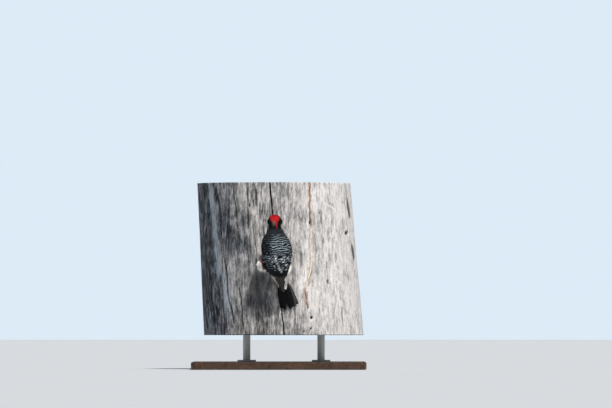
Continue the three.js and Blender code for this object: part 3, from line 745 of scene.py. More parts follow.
def under_side(x, z, angle):
    """The ground colour below: greyish olive breast, buff belly with a red middle, white flanks and rump."""
    side = np.abs(angle)
    under = blend(all_over(OLIVE, z), BUFF, 1 - smoothstep(0, 16, z))
    belly_middle = smoothstep(150, 168, side) * smoothstep(-34, -24, z) * (1 - smoothstep(-10, -2, z))
    under = blend(under, RED * 0.7, belly_middle)
    flank = (1 - smoothstep(10, 20, z)) * (1 - smoothstep(125, 150, side))
    under = blend(under, WHITE, flank)
    rosy = np.exp(-((z - 9) / 3.5) ** 2) * smoothstep(-16, -24, x) * (angle < 0)
    return blend(under, ROSE, 0.8 * rosy)


def head_ground(ground, x, y, z):
    """Over a ground colour, the head's: black face, white streak, pale throat, red cap and gold forehead."""
    f, s, u = y - HEAD_MIDDLE[1], x - HEAD_MIDDLE[0], z - HEAD_MIDDLE[2]
    head = smoothstep(50, 55, z)
    low_face = (1 - smoothstep(-5.4, -3.6, u + 0.16 * (f - 4))) * smoothstep(-9, -4, f)
    face = blend(all_over(BLACK, z), blend(all_over(WHITE, z), BUFF, 0.35 + 0 * z), low_face)
    slim = 0.35 + 0.75 * smoothstep(-8, -0.5, f)
    streak = np.exp(-((u - 4.6 + 0.12 * f) / slim) ** 2) * smoothstep(-8.5, -6, f)
    streak = streak * (1 - smoothstep(1.5, 3.5, f)) * smoothstep(5, 7, np.abs(s))
    face = blend(face, WHITE, smoothstep(0.35, 0.6, streak))
    ground = blend(ground, face, head)
    drawn = 1 - smoothstep(54.5, 71, z)
    cap_middle = -6.2 + 3.4 * (1 - smoothstep(54, 66, z))
    cap_half = np.where(f < 0, 7.7 - 6.9 * drawn, 7.7 - 2.2 * smoothstep(2, 12, f))
    cap = 1 - smoothstep(-0.5, 0.6, np.abs(x - cap_middle) - cap_half)
    cap = cap * np.where(f < 0, smoothstep(52.5, 54.5, z), u > 1)
    ground = blend(ground, RED, cap)
    worn_nape = 0.7 * cap * np.exp(-((x + 5.4) / 1.7) ** 2 - ((z - 60) / 3.2) ** 2) * (f < 0)
    ground = blend(ground, NAPE_BROWN, worn_nape)
    beside_cap = head * (f < 0) * np.exp(-((x + 7.9) / 2.4) ** 2 - ((z - 60.8) / 4.2) ** 2)
    ground = blend(ground, OLIVE * 0.8, 0.95 * beside_cap)
    gold = smoothstep(9.6, 11.2, f + 0.12 * u) * smoothstep(-3.4, -2, u)
    return blend(ground, GOLD, gold * (1 - smoothstep(5.2, 6.6, np.abs(s))))


def back_bars(x, z, phase, patchy):
    """How broad the pale bars are: broadest down the middle of the back, and spots over the wings."""
    upper = smoothstep(BAR_BOTTOM - 3, BAR_BOTTOM, z) * (1 - smoothstep(BAR_TOP - 2, BAR_TOP + 3, z))
    # the bars fade towards the sides; the stronger fading on the left is painted shade
    side_fade_and_painted_shade = smoothstep(6, 18, np.abs(x - 0.5)) * np.where(x > 0, 0.35, 0.85)
    strength = (0.6 + 0.9 * patchy) * (1 - side_fade_and_painted_shade)
    dashes = 0.5 + 0.5 * np.sin(x * 2.5 + 2.4 * np.floor(phase) + 5 * patchy)
    broken = 0.95 * smoothstep(24, 10, z) + 0.5 * smoothstep(8, 16, np.abs(x))
    strength = strength * (1 - np.clip(broken, 0, 1) * (1 - smoothstep(0.25, 0.6, dashes)))
    return BAR_SHARE * np.clip(strength, 0, 1.15) * upper


def markings(bird_points):
    """Ground colour, mark colour, the bars' phase in turns and the share of each turn that is marked."""
    x, y, z = bird_points.T
    angle = turn_round_body(bird_points)
    side = np.abs(angle)
    # the upper side: slate on the upper back, black below it
    ground = blend(all_over(BLACK, z), SLATE, smoothstep(38, 44, z) * (1 - smoothstep(50, 58, z)))
    # a lighter slate patch down the middle of the back: a painted sheen
    sheen = np.exp(-((x + 5) / 8) ** 2) * smoothstep(6, 20, z) * (1 - smoothstep(42, 52, z))
    ground = blend(ground, SLATE, 0.8 * sheen)
    # the under side as far as the wings and the loose flank feathers leave it open, and the rump
    open_side = smoothstep(-2, 5, side - wing_edges(z)[1]) * (1 - smoothstep(44, 52, z))
    open_side = np.maximum(open_side, on_flank(bird_points))
    ground = blend(ground, under_side(x, z, angle), open_side)
    ground = blend(ground, WHITE, (1 - smoothstep(-26, -20, z)) * (1 - smoothstep(120, 150, side)))
    # the foreneck and throat, and the head
    neck = smoothstep(40, 48, z) * smoothstep(104, 124, side)
    ground = blend(ground, blend(all_over(OLIVE, z), WHITE, smoothstep(46, 58, z)), neck)
    ground = head_ground(ground, x, y, z)
    # wavy pale bars over the back and the wings, and the larger white spots
    phase = bar_turns(x, z)
    patchy = value_noise(BAR_PATCHES, x / 5.0 + 60, z / 4.0 + 60)
    share = back_bars(x, z, phase, patchy) * (1 - open_side)
    mark = blend(all_over(BAR_GREY, z), BAR_GREY * 1.45, smoothstep(34, 20, z))
    mark = blend(mark, WHITE, 0.3 * smoothstep(24, 6, z) * smoothstep(0.5, 0.75, patchy))
    ground = blend(ground, SPOT_WHITE, white_spots(x, z) * (side < 80))
    # dusky bars on the flanks and under the tail
    flanked = open_side * (1 - smoothstep(4, 14, z)) * smoothstep(70, 100, side) * smoothstep(-60, -22, z)
    dusky = flanked * smoothstep(108, 130, side) * (1 - on_flank(bird_points) * smoothstep(-12, -4, z))
    barred = dusky > 0.3
    phase = np.where(barred, (z + 0.5 * np.abs(x - 2)) / FLANK_BAR_PITCH, phase)
    share = np.where(barred, 0.3 * dusky, share)
    return ground, blend(mark, DUSKY, barred), phase, share


def plumage_material(name, roughness=0.62, gloss=0.11):
    """Feathers: the shared markings, fine slanting barbs either side of a shaft, and a soft sheen."""
    n = Nodes(name)
    bars = n.add("ShaderNodeSeparateXYZ", {0: n.attribute("bars", "Vector")}).outputs
    vane = n.add("ShaderNodeSeparateXYZ", {0: n.attribute("vane", "Vector")}).outputs
    along, across, own = vane[0], vane[1], vane[2]
    fray = n.noise(n.coordinates(), 900, 2, 0.6)
    frayed = n.plus(bars[0], n.times(n.minus(fray, 0.5), 0.32))
    saw = n.math("ABSOLUTE", n.minus(n.math("FRACT", frayed), 0.5))
    half_bar = n.times(bars[1], 0.5)
    mask = n.add("ShaderNodeMapRange", {"Value": saw, "From Min": n.minus(half_bar, BAR_EDGE),
                                        "From Max": n.plus(half_bar, BAR_EDGE),
                                        "To Min": 1.0, "To Max": 0.0}).outputs[0]
    shown = n.times(mask, n.math("GREATER_THAN", bars[1], 0.03))
    colour = n.mix(shown, n.attribute("ground", "Color"), n.attribute("mark", "Color"))
    slant = n.minus(along, n.times(n.math("ABSOLUTE", across), BARB_SLANT))
    barbs = n.math("SINE", n.times(slant, 2 * math.pi / BARB_PITCH))
    place = n.add("ShaderNodeCombineXYZ", {0: n.times(slant, 1.6), 1: own, 2: across}).outputs[0]
    wisps = n.noise(place, 1.4, 3, 0.7)
    tinted = n.plus(n.steps(wisps, 0.3, 0.7, 0.72, 1.16), n.times(n.minus(own, 0.5), 0.3))
    shade = n.add("ShaderNodeCombineColor", {0: tinted, 1: tinted, 2: tinted}).outputs[0]
    relief = n.bump(n.plus(n.times(barbs, 0.35), wisps), 0.5, 0.00012)
    return n.finish(n.mix(1.0, colour, shade, "MULTIPLY"),
                    n.steps(wisps, 0.3, 0.7, roughness + 0.1, roughness - 0.1), relief,
                    Specular_IOR_Level=gloss, Sheen_Weight=0.02, Sheen_Roughness=0.4)


plumage = plumage_material("plumage")


def mark_piece(piece, bird_points, vane, jitter=0.0, paint=markings):
    ground, mark, phase, share = paint(bird_points)
    set_attribute(piece, "ground", ground, "FLOAT_COLOR")
    set_attribute(piece, "mark", mark, "FLOAT_COLOR")
    set_attribute(piece, "bars", np.stack([phase + jitter, share, 0 * share], -1), "FLOAT_VECTOR")
    set_attribute(piece, "vane", vane, "FLOAT_VECTOR")


skin_mm = bird_mm(skin_points)
mark_piece(skin, skin_mm, np.stack([skin_mm[:, 2], skin_mm[:, 0], 0.5 + 0 * skin_mm[:, 0]], -1))
skin.data.materials.append(plumage)
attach(skin, "root")
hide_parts(*FLESH)


# The contour feathers: thin closed vanes in overlapping rows over the whole skin. Each springs from its own
# root, follows the lie of the coat over the skin and lifts a little towards its tip. They are smallest on
# the face, and each tract of the plumage is a piece of its own.

TRACTS = {
    # spacing, length, half width, lift of the tip in millimetres, and the rings and points of each vane
    "face": (0.52, 2.8, 0.31, 0.55, 5, 3),
    "crown": (0.58, 4.4, 0.35, 0.80, 5, 3),
    "neck": (0.82, 6.2, 0.58, 1.1, 6, 3),
    "back": (1.25, 8.5, 1.35, 1.3, 7, 5),
    "wing_left": (1.4, 9.0, 1.6, 1.5, 7, 5),
    "wing_right": (1.4, 9.0, 1.6, 1.5, 7, 5),
    "breast": (1.2, 8.5, 1.1, 1.4, 6, 5),
    "belly": (1.25, 10.0, 1.1, 1.5, 6, 5),
    "flank_left": (1.25, 10.0, 1.1, 1.7, 6, 5),
    "flank_right": (1.25, 10.0, 1.1, 1.7, 6, 5),
    "rump": (1.3, 10.5, 1.2, 1.3, 7, 5),
    "thighs": (0.95, 5.5, 0.65, 0.8, 5, 3),
}
TRACT_NAMES = list(TRACTS)
TRACT_SIZES = np.array(list(TRACTS.values()))
BILL_ROOT = np.array([-6.2, -29.5, 61.6])
BILL_ROOT_RADIUS = 2.6
BILL_ROOT_FROM = -33
EYE_APART = 18.6
EYE_BARE = 2.75
ROOT_CELL = 2.0 * MM
ROOT_TRIES = 5
YAW = np.radians(17)
FEATHER_THICKNESS = 0.1 * MM
ROOT_HEIGHT, LEAST_HEIGHT = 0.08 * MM, 0.03 * MM
SIZE_VARIATION = 0.3
FRAY = 0.16
CAMBER = 0.14
EDGE_SWEEP = 0.35
WIDEST_AT = 0.5
ROOT_WIDTH = 0.4
TIP_NARROWING, TIP_CURVE = 0.8, 2.2
LIFT_CURVE = 0.85
BAR_JITTER = 0.2
TURN_SHARE = 0.25
COAT_LEAN = 0.13
SHANK_LIE = np.array([0, 0.66, -0.75])

# The map of the skin's own shape: what the body's band on it spans, the head's disc, and a feather's patch
BAND_DEGREES = 370
BAND_LOW, BAND_TALL, BAND_MARGIN = -46, 102, 0.03
DISC_RADIUS = 0.48
HEAD_PATCH, BODY_PATCH = 0.003, 0.009


def number_of(tract_name):
    return TRACT_NAMES.index(tract_name)


def eye_middle(sign):
    return HEAD_MIDDLE + np.array([sign * EYE_APART / 2, 5.2, 1.9])


def tracts_of(points):
    """The number of the tract that each place on the skin belongs to."""
    trees = []
    for node in FLESH:
        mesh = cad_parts[node].data
        corners = [vertex.co for vertex in mesh.vertices]
        trees.append(BVHTree.FromPolygons(corners, [tuple(face.vertices) for face in mesh.polygons]))
    apart = np.array([[tree.find_nearest(point)[3] for tree in trees] for point in points.tolist()])
    nearest = np.array(FLESH)[apart.argmin(1)]
    _, y, z = bird_mm(points).T
    angle = turn_round_body(bird_mm(points))
    side = np.abs(angle)
    head = z > 53 + 0.12 * (y - HEAD_MIDDLE[1])
    on_side = (side > 60) & (side < 145)
    conditions = {
        "thighs": (nearest == "thigh_left") | (nearest == "thigh_right"),
        "face": head & (y - HEAD_MIDDLE[1] > 3),
        "crown": head,
        "neck": z > 40,
        "wing_left": nearest == "wing_left",
        "wing_right": nearest == "wing_right",
        "breast": (side > 104) & (z > 12) | (side > 150) & (z > 4),
        "rump": z < -22,
        "flank_left": on_side & (angle < 0),
        "flank_right": on_side,
        "belly": side >= 145,
    }
    return np.select(list(conditions.values()), [number_of(name) for name in conditions], number_of("back"))


def lie_of_coat(bird_points, thigh):
    """The way the feathers point: back from the bill over the head, then down the body."""
    x, y, z = bird_points.T
    from_bill = unit(bird_points - BILL_ROOT)
    drawn_in = -0.012 * (x - section(z)[0]) * (1 - smoothstep(20, 44, z)) * (z < 44)
    down = np.stack([COAT_LEAN + drawn_in, 0 * y, -1 + 0 * z], -1)
    heads = smoothstep(-14, 0, y - HEAD_MIDDLE[1]) * smoothstep(44, 56, z)
    way = from_bill * heads[:, None] + down * (1 - heads)[:, None]
    return np.where(thigh[:, None], SHANK_LIE, way)


def on_tangent(vectors, ups):
    return unit(vectors - ups * (vectors * ups).sum(1, keepdims=True))


def crowded(cells, key, place, gap):
    """Whether a root that was kept before, in this cell or in one beside it, is nearer than the gap."""
    for step in itertools.product((-1, 0, 1), repeat=3):
        for other in cells.get((key[0] + step[0], key[1] + step[1], key[2] + step[2]), ()):
            apart = (other[0] - place[0]) ** 2 + (other[1] - place[1]) ** 2 + (other[2] - place[2]) ** 2
            if apart < gap * gap:
                return True
    return False


def scatter_roots(rng):
    """Roots over the skin, at least a tract's spacing apart."""
    corners = skin_points[skin_quads]
    middles = corners.mean(1)
    area = np.linalg.norm(np.cross(corners[:, 2] - corners[:, 0], corners[:, 3] - corners[:, 1]), axis=1) / 2
    tract = tracts_of(middles)
    spacing = TRACT_SIZES[tract, 0] * MM
    weight = area / spacing ** 2
    picks = rng.choice(len(middles), size=int(weight.sum() * ROOT_TRIES), p=weight / weight.sum())
    shares = rng.random((len(picks), 2))
    a, b, c, d = (corners[picks, i] for i in range(4))
    u, v = shares[:, :1], shares[:, 1:]
    places = (a * (1 - u) + b * u) * (1 - v) + (d * (1 - u) + c * u) * v
    cells, kept = {}, []
    for index, (place, gap) in enumerate(zip(places.tolist(), spacing[picks].tolist())):
        key = tuple(int(value // ROOT_CELL) for value in place)
        if not crowded(cells, key, place, gap):
            cells.setdefault(key, []).append(place)
            kept.append(index)
    return places[kept], tract[picks[kept]]


def bare_of_feathers(bird_points, tract):
    """Places that carry no contour feathers: the eyes, the bill's root, and under the flight feathers."""
    x, y, z = bird_points.T
    eyes = [np.linalg.norm(bird_points - eye_middle(sign), axis=1) < EYE_BARE for sign in (-1, 1)]
    bill = (np.hypot(x - BILL_ROOT[0], z - BILL_ROOT[2]) < BILL_ROOT_RADIUS) & (y > BILL_ROOT_FROM)
    wings = (tract == number_of("wing_left")) | (tract == number_of("wing_right"))
    outer = wing_edges(z - 7)[1]
    rump = (tract == number_of("rump")) & (np.abs(turn_round_body(bird_points)) < outer + 3)
    return eyes[0] | eyes[1] | bill | (wings & (z < 5)) | rump


def coat_map(bird_points):
    """An unwrap of the skin's own shape: a disc round the nape for the head, a band round the body."""
    angle = turn_round_body(bird_points)
    up = BAND_MARGIN + (1 - 2 * BAND_MARGIN) * (bird_points[:, 2] - BAND_LOW) / BAND_TALL
    band = np.stack([0.5 + angle / BAND_DEGREES, up], -1)
    aim = unit(bird_points - HEAD_MIDDLE)
    reach = np.sqrt(np.clip((1 + aim[:, 1]) / 2, 0, 1)) * DISC_RADIUS
    round_nape = np.arctan2(aim[:, 2], aim[:, 0])
    disc = np.stack([0.5 + reach * np.cos(round_nape), 0.5 + reach * np.sin(round_nape)], -1)
    return band, disc


def add_map(piece, name, uv):
    layer = piece.data.uv_layers.new(name=name)
    corners = numbers_of(piece.data.loops, "vertex_index", np.int64, 1).ravel()
    layer.data.foreach_set("uv", uv[corners].astype(np.float32).ravel())


def end_caps(rows, columns):
    """The two end faces of a closed tube of points: the last row, and the first one turned round."""
    first = np.arange(columns)
    return np.stack([first + (rows - 1) * columns, first[::-1]])


def feather_row(lay, place, up, way, width, height, frays, t, spread):
    """One cross row of points of each feather, over the vane and back under its middle."""
    right = np.cross(way, up)
    camber = CAMBER * width
    row = []
    for k, v in enumerate(spread):
        shift = right * width * v + way * (frays[:, k:k + 1] - EDGE_SWEEP * width * t * abs(v))
        if v == 0 or abs(v) == 1:
            flat, flat_up = (place + shift, up) if v == 0 else lay(place + shift)
            row.append(flat + flat_up * np.maximum(height - camber * v * v, LEAST_HEIGHT))
        else:
            row.append(place + shift + up * (height - 0.1 * camber))
    under = up * (height - FEATHER_THICKNESS - 0.05 * camber)
    row.append(place + way * frays[:, len(spread) // 2][:, None] + under)
    return np.stack(row, 1)


def grow_feathers(name, roots, tract, rng, lay=settle, lie=lie_of_coat, paint=markings):
    """One piece of contour feathers, each a thin closed vane laid over the skin from its root."""
    count = len(roots)
    rings, across_count = (int(size) for size in TRACT_SIZES[tract[0], 4:])
    sizes = TRACT_SIZES[tract]
    vary = 1 + SIZE_VARIATION * (rng.random((count, 3)) - 0.5)
    length = sizes[:, 1] * vary[:, 0] * MM
    half = sizes[:, 2] * vary[:, 1] * MM
    lift = sizes[:, 3] * vary[:, 2] * MM
    thigh = tract == number_of("thighs")
    place, up = lay(roots)
    way = on_tangent(lie(bird_mm(place), thigh), up)
    yaw = YAW * (rng.random(count) - 0.5)
    way = way * np.cos(yaw)[:, None] + np.cross(up, way) * np.sin(yaw)[:, None]
    own = rng.random(count)
    steps = np.linspace(0, 1, rings)
    spread = np.linspace(-1, 1, across_count)
    frayed = FRAY * (rng.random((count, rings, across_count)) - 0.5)
    rows = []
    for ring, t in enumerate(steps):
        if ring:
            place, up = lay(place + way * (length / (rings - 1))[:, None])
            way = on_tangent((1 - TURN_SHARE) * way + TURN_SHARE * unit(lie(bird_mm(place), thigh)), up)
        swell = ROOT_WIDTH + (1 - ROOT_WIDTH) * math.sin(min(t / WIDEST_AT, 1) * math.pi / 2)
        if t > WIDEST_AT:
            swell *= 1 - TIP_NARROWING * ((t - WIDEST_AT) / (1 - WIDEST_AT)) ** TIP_CURVE
        width, height = (half * swell)[:, None], (ROOT_HEIGHT + lift * t ** LIFT_CURVE)[:, None]
        frays = (length * t ** 3)[:, None] * frayed[:, ring]
        rows.append(feather_row(lay, place, up, way, width, height, frays, t, spread))
    points = np.stack(rows, 1).reshape(-1, 3)
    ring_points = across_count + 1
    per_feather = rings * ring_points
    offsets = (np.arange(count) * per_feather)[:, None, None]
    quads = (grid_faces(rings, ring_points, True)[None] + offsets).reshape(-1, 4)
    caps = (end_caps(rings, ring_points)[None] + offsets).reshape(-1, ring_points)
    piece = new_mesh(name, points, [quads, caps])
    across = np.append(spread, 0)
    along_mm = (length[:, None, None] * steps[None, :, None] + 0 * across) / MM
    across_mm = (half[:, None, None] * across[None, None, :] + 0 * steps[None, :, None]) / MM
    vane = np.stack([along_mm, across_mm, own[:, None, None] + 0 * along_mm], -1).reshape(-1, 3)
    jitter = np.repeat(BAR_JITTER * (rng.random(count) - 0.5), per_feather)
    mark_piece(piece, bird_mm(points), vane, jitter, paint)
    band, disc = coat_map(bird_mm(roots))
    on_head = np.isin(tract, [number_of("face"), number_of("crown")])
    root_map = np.where(on_head[:, None], disc, band)
    patch = np.where(on_head, HEAD_PATCH, BODY_PATCH)
    offset = np.stack([0.5 * across[None, :] + 0 * steps[:, None],
                       0.5 - steps[:, None] + 0.12 * np.abs(across)[None, :]], -1)
    uv = root_map[:, None, None, :] + patch[:, None, None, None] * offset[None]
    add_map(piece, "OFBake", uv.reshape(-1, 2))
    piece.data.materials.append(plumage)
    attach(piece, "root")
    return piece


PIECES = {
    "face_feathers": ("face", "crown_feathers"),
    "crown_and_nape_feathers": ("crown", "crown_feathers"),
    "neck_feathers": ("neck", "dark_feathers"),
    "back_feathers": ("back", "barred_feathers"),
    "left_wing_coverts": ("wing_left", "barred_feathers"),
    "right_wing_coverts": ("wing_right", "barred_feathers"),
    "breast_feathers": ("breast", "pale_feathers"),
    "belly_feathers": ("belly", "pale_feathers"),
    "left_flank_feathers": ("flank_left", "pale_feathers"),
    "right_flank_feathers": ("flank_right", "pale_feathers"),
    "thigh_feathers": ("thighs", "pale_feathers"),
}

feather_rng = np.random.default_rng(23)
roots, root_tract = scatter_roots(feather_rng)
bald = bare_of_feathers(bird_mm(roots), root_tract)
roots, root_tract = roots[~bald], root_tract[~bald]
for piece_name, (tract_name, slot_name) in PIECES.items():
    inside = root_tract == number_of(tract_name)
    grow_feathers(piece_name, roots[inside], root_tract[inside], feather_rng)


# The flight feathers of the folded wings: long closed vanes with a raised shaft, laid over the lower back in
# the order of a folded wing, tertials on top, then secondaries, then the narrow primaries down to the wing
# tips, with a row of greater coverts over their roots.

VANE_RINGS = 26
VANE_ACROSS = np.array([-1, -0.72, -0.42, -0.14, -0.05, 0.05, 0.14, 0.42, 0.72, 1])
VANE_THICKNESS = 0.3 * MM
VANE_CLEARANCE = 0.12
VANE_SWEEP = 0.45
VANE_ARCH = 0.3
VANE_SPLITS = 0.1
SHAFT_HALF = 0.07
SHAFT_HEIGHT = 0.14
SKIN_END = -35
WELL_OUTSIDE = 2.2

# On their map the vanes lie side by side, each in a strip of its own, with its back beside its front
VANE_BACK = 2.1
MAP_EDGE = 0.01
STRIP_EDGE, STRIP_FILLED = 0.04, 0.92
SHEET_FOOT, SHEET_HEIGHT, SHEET_SWEEP = 0.02, 0.95, 0.03


def onto_body(z, degrees, sign):
    """The place on the skin at a height and an angle round the body."""
    middle_x, middle_y, half_width, half_depth = section(z)
    angle = np.radians(degrees)
    aim = np.stack([sign * np.sin(angle) * half_width, -np.cos(angle) * half_depth, 0 * z], -1)
    middle = metres(np.stack([middle_x, middle_y, z], -1))
    outside = middle + WELL_OUTSIDE * aim * MM
    hits = []
    for start, way in zip(outside.tolist(), (-unit(aim)).tolist()):
        hit = skin_tree.ray_cast(start, way)
        hits.append(hit[0] if hit[0] is not None else skin_tree.find_nearest(start)[0])
    return np.array(hits)


def outline_share(t, pointed):
    """The vane's half width along it, as a share of the widest."""
    root = np.clip(0.45 + 1.8 * t, 0, 1)
    start = 1 - pointed
    tip = np.sqrt(np.clip(1 - (np.maximum(t - start, 0) / (1.012 * pointed)) ** 2, 0, 1))
    return root * tip


def close_vane(top, up, thickness):
    """Rings of points, over the vane and back under it, from its top side and its outward directions."""
    inner = slice(1, -1)
    depth = thickness * (1 - np.abs(VANE_ACROSS[inner]) ** 4)
    under = top[:, inner] - up[:, inner] * depth[None, :, None]
    return np.concatenate([top, under[:, ::-1]], 1)


def shaft_height(across):
    return np.exp(-(across / SHAFT_HALF) ** 2)


def split_barbs(rng, rings, depth):
    """The vane's half widths, as shares across it, with small gaps where the barbs part at its edge."""
    edge = np.ones((rings, 2))
    for side in range(2):
        for _ in range(rng.integers(1, 4)):
            edge[rng.integers(int(rings * 0.45), rings - 3), side] -= depth * rng.random()
    return np.where(VANE_ACROSS[None, :] < 0, edge[:, :1], edge[:, 1:]) * VANE_ACROSS[None, :]


class VanePiece:
    """Collects vanes with their marks, and joins them into one piece."""

    def __init__(self, name):
        self.name = name
        self.points, self.faces, self.vanes, self.sheets = [], [], [], []
        self.ground, self.mark, self.bars = [], [], []

    def add(self, rings_of_points, length, half, own, colours):
        rings, ring_points = rings_of_points.shape[:2]
        points = rings_of_points.reshape(-1, 3)
        start = len(self.points) * len(points)
        self.points.append(points)
        self.faces.append((start + grid_faces(rings, ring_points, True),
                           start + end_caps(rings, ring_points)))
        t = np.linspace(0, 1, rings)[:, None] + np.zeros(ring_points)
        v = np.concatenate([VANE_ACROSS, VANE_ACROSS[1:-1][::-1]]) + 0 * t
        self.vanes.append(np.stack([t * length / MM, v * half / MM, own + 0 * t], -1).reshape(-1, 3))
        ground, mark, phase, share = colours(t.ravel(), v.ravel(), bird_mm(points))
        self.ground.append(ground)
        self.mark.append(mark)
        self.bars.append(np.stack([phase, share, 0 * share], -1))
        sheet = np.concatenate([VANE_ACROSS, VANE_BACK - VANE_ACROSS[1:-1][::-1]])
        self.sheets.append(np.stack([sheet + 0 * t, t - SHEET_SWEEP * v ** 2], -1).reshape(-1, 2))

    def finish(self, slot, *replaced):
        faces = [np.concatenate(kind) for kind in zip(*self.faces)]
        piece = new_mesh(self.name, np.concatenate(self.points), faces)
        set_attribute(piece, "ground", np.concatenate(self.ground), "FLOAT_COLOR")
        set_attribute(piece, "mark", np.concatenate(self.mark), "FLOAT_COLOR")
        set_attribute(piece, "bars", np.concatenate(self.bars), "FLOAT_VECTOR")
        set_attribute(piece, "vane", np.concatenate(self.vanes), "FLOAT_VECTOR")
        strip = (1 - 2 * MAP_EDGE) / len(self.sheets)
        laid = []
        for number, sheet in enumerate(self.sheets):
            u = MAP_EDGE + strip * (number + STRIP_EDGE + STRIP_FILLED * (sheet[:, 0] + 1) / (VANE_BACK + 2))
            laid.append(np.stack([u, SHEET_FOOT + SHEET_HEIGHT * sheet[:, 1]], -1))
        add_map(piece, "OFBake", np.concatenate(laid))
        piece.data.materials.append(flight_plumage)
        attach(piece, "root")
        if replaced:
            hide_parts(*replaced)
        return piece


def flight_colours(ground_colour, spot_colour, spots, pitch, edge_from, start, stop, offset=0.0):
    """Colours of a flight feather: dark, with pale spots of a set size along its edges."""
    def colours(t, v, bird_points):
        x, z = bird_points[:, 0], bird_points[:, 2]
        across = np.abs(v)
        ground = blend(all_over(ground_colour, t), ground_colour * 0.5, 0.8 * (across < SHAFT_HALF))
        ground = blend(ground, SPOT_WHITE, white_spots(x, z))
        phase = bar_turns(x, z) * BAR_PITCH / pitch + offset + 0.2 * across
        share = spots * smoothstep(edge_from - 0.12, edge_from + 0.12, across)
        return ground, all_over(spot_colour, t), phase, share * (t >= start) * (t <= stop)
    return colours


def lay_vane(piece, sign, tip_z, root_z, shares, half, height, pointed, colours, rng):
    """One flight feather of a folded wing, at two shares of the wing's breadth at its root and its tip."""
    t = np.linspace(0, 1, VANE_RINGS)
    z = root_z + (tip_z - root_z) * t
    inner, outer = wing_edges(z)
    share = shares[0] + (shares[1] - shares[0]) * t
    spine = onto_body(np.maximum(z, SKIN_END), inner + (outer - inner) * share, sign)
    last = int((z >= SKIN_END).sum()) - 1
    for ring in range(last + 1, VANE_RINGS):
        spine[ring] = spine[ring - 1] + (spine[last] - spine[last - 3]) / 3
    way = unit(np.gradient(spine, axis=0))
    place, up = settle(spine)
    place[last + 1:] = spine[last + 1:]
    up[last + 1:] = up[last]
    up = unit(relaxed_rows(up, 4))
    right = unit(np.cross(way, up))
    width = half * MM * outline_share(t, pointed)
    spread = split_barbs(rng, VANE_RINGS, VANE_SPLITS)
    sweep = VANE_SWEEP * width[:, None] * np.abs(VANE_ACROSS)[None, :] * t[:, None]
    swept = -way[:, None, :] * sweep[..., None]
    across = place[:, None, :] + right[:, None, :] * (width[:, None] * spread)[..., None] + swept
    flat, flat_up = (found.reshape(across.shape) for found in settle(across.reshape(-1, 3)))
    narrowed = (width[last + 1:] / width[last])[:, None, None]
    flat[last + 1:] = across[last + 1:] + (flat[last] - across[last]) * narrowed
    flat_up[last + 1:] = flat_up[last]
    up_all = unit(flat_up + up[:, None, :])
    arch = -VANE_ARCH * VANE_ACROSS ** 2 * (half / 4)
    raised = (height * (0.12 + 0.88 * t ** 0.6))[:, None] + arch[None, :]
    raised = raised + SHAFT_HEIGHT * shaft_height(VANE_ACROSS)[None, :]
    top = flat + up_all * (np.maximum(raised, VANE_CLEARANCE) * MM)[..., None]
    length = np.linalg.norm(np.diff(spine, axis=0), axis=1).sum()
    piece.add(close_vane(top, up_all, VANE_THICKNESS), length, half * MM, rng.random(), colours)


flight_plumage = plumage_material("flight_plumage", 0.5, 0.12)
PRIMARY_BROWN = np.array([0.062, 0.052, 0.046])

# Tertials and secondaries, each with its tip's height and its share of the wing's breadth
TERTIALS = [(-23.8, 0.10), (-21.5, 0.29), (-17.5, 0.47)]
SECONDARIES = [(-21, 0.52), (-18.5, 0.64), (-15, 0.74), (-10, 0.83), (-4, 0.92)]
PRIMARIES = 7
PRIMARY_SPREAD = 0.86
PRIMARY_TIP_Z, PRIMARY_TIP_FALL = -30, 16
PRIMARY_ROOT_Z, FLIGHT_ROOT_Z, COVERT_ROOT_Z = -4, 12, 15
PRIMARY_HALF, TERTIAL_HALF, COVERT_HALF = 3.4, 4.4, 2.9
GREATER_COVERTS = 12
COVERT_TIP_Z, COVERT_TIP_RISE, COVERT_UNEVEN = -4, 5, 2


def fold_wing(side, sign):
    rng = np.random.default_rng(40 + sign)
    piece = VanePiece(f"{side}_wing_flight_feathers")
    spotted = flight_colours(BLACK, BAR_GREY, 0.24, 3.4, 0.3, 0.1, 0.72, 0.3 * sign)
    barred = flight_colours(BLACK, BAR_GREY, 0.27, 3.6, 0.35, 0.1, 0.8, 0.2)
    brown = flight_colours(PRIMARY_BROWN, GREY_WHITE, 0.0, 7.0, 0.92, 0.1, 0.6)
    for number in range(PRIMARIES, 0, -1):
        reach = number / PRIMARIES
        shares = (0.12 + PRIMARY_SPREAD * reach, 0.14 + 0.42 * reach)
        tip_z = PRIMARY_TIP_Z - PRIMARY_TIP_FALL * reach ** 0.8
        lay_vane(piece, sign, tip_z, PRIMARY_ROOT_Z, shares, PRIMARY_HALF, 2.5 - 0.8 * reach, 0.16,
                 brown, rng)
    for number, (tip_z, share) in reversed(list(enumerate(SECONDARIES))):
        lay_vane(piece, sign, tip_z, FLIGHT_ROOT_Z, (share, share), PRIMARY_HALF, 2.0 - 0.2 * number, 0.22,
                 barred, rng)
    for number, (tip_z, share) in reversed(list(enumerate(TERTIALS))):
        lay_vane(piece, sign, tip_z, FLIGHT_ROOT_Z, (share + 0.04, share), TERTIAL_HALF, 2.7 - 0.22 * number,
                 0.3, spotted, rng)
    folded = piece.finish("flight_feathers", f"wing_tip_{side}")
    coverts = VanePiece(f"{side}_wing_greater_coverts")
    tipped = flight_colours(BLACK, BAR_GREY * 1.2, 0.27, BAR_PITCH, 0.05, 0.2, 1.0)
    for number in range(GREATER_COVERTS, -1, -1):
        share = 0.06 + 0.90 * number / GREATER_COVERTS
        tip_z = COVERT_TIP_Z + COVERT_TIP_RISE * share + COVERT_UNEVEN * rng.random()
        lay_vane(coverts, sign, tip_z, COVERT_ROOT_Z, (share, share), COVERT_HALF, 2.5 - 0.05 * number, 0.4,
                 tipped, rng)
    return [folded, coverts.finish("barred_feathers")]


wing_pieces = {side: fold_wing(side, sign) for side, sign in (("left", -1), ("right", 1))}


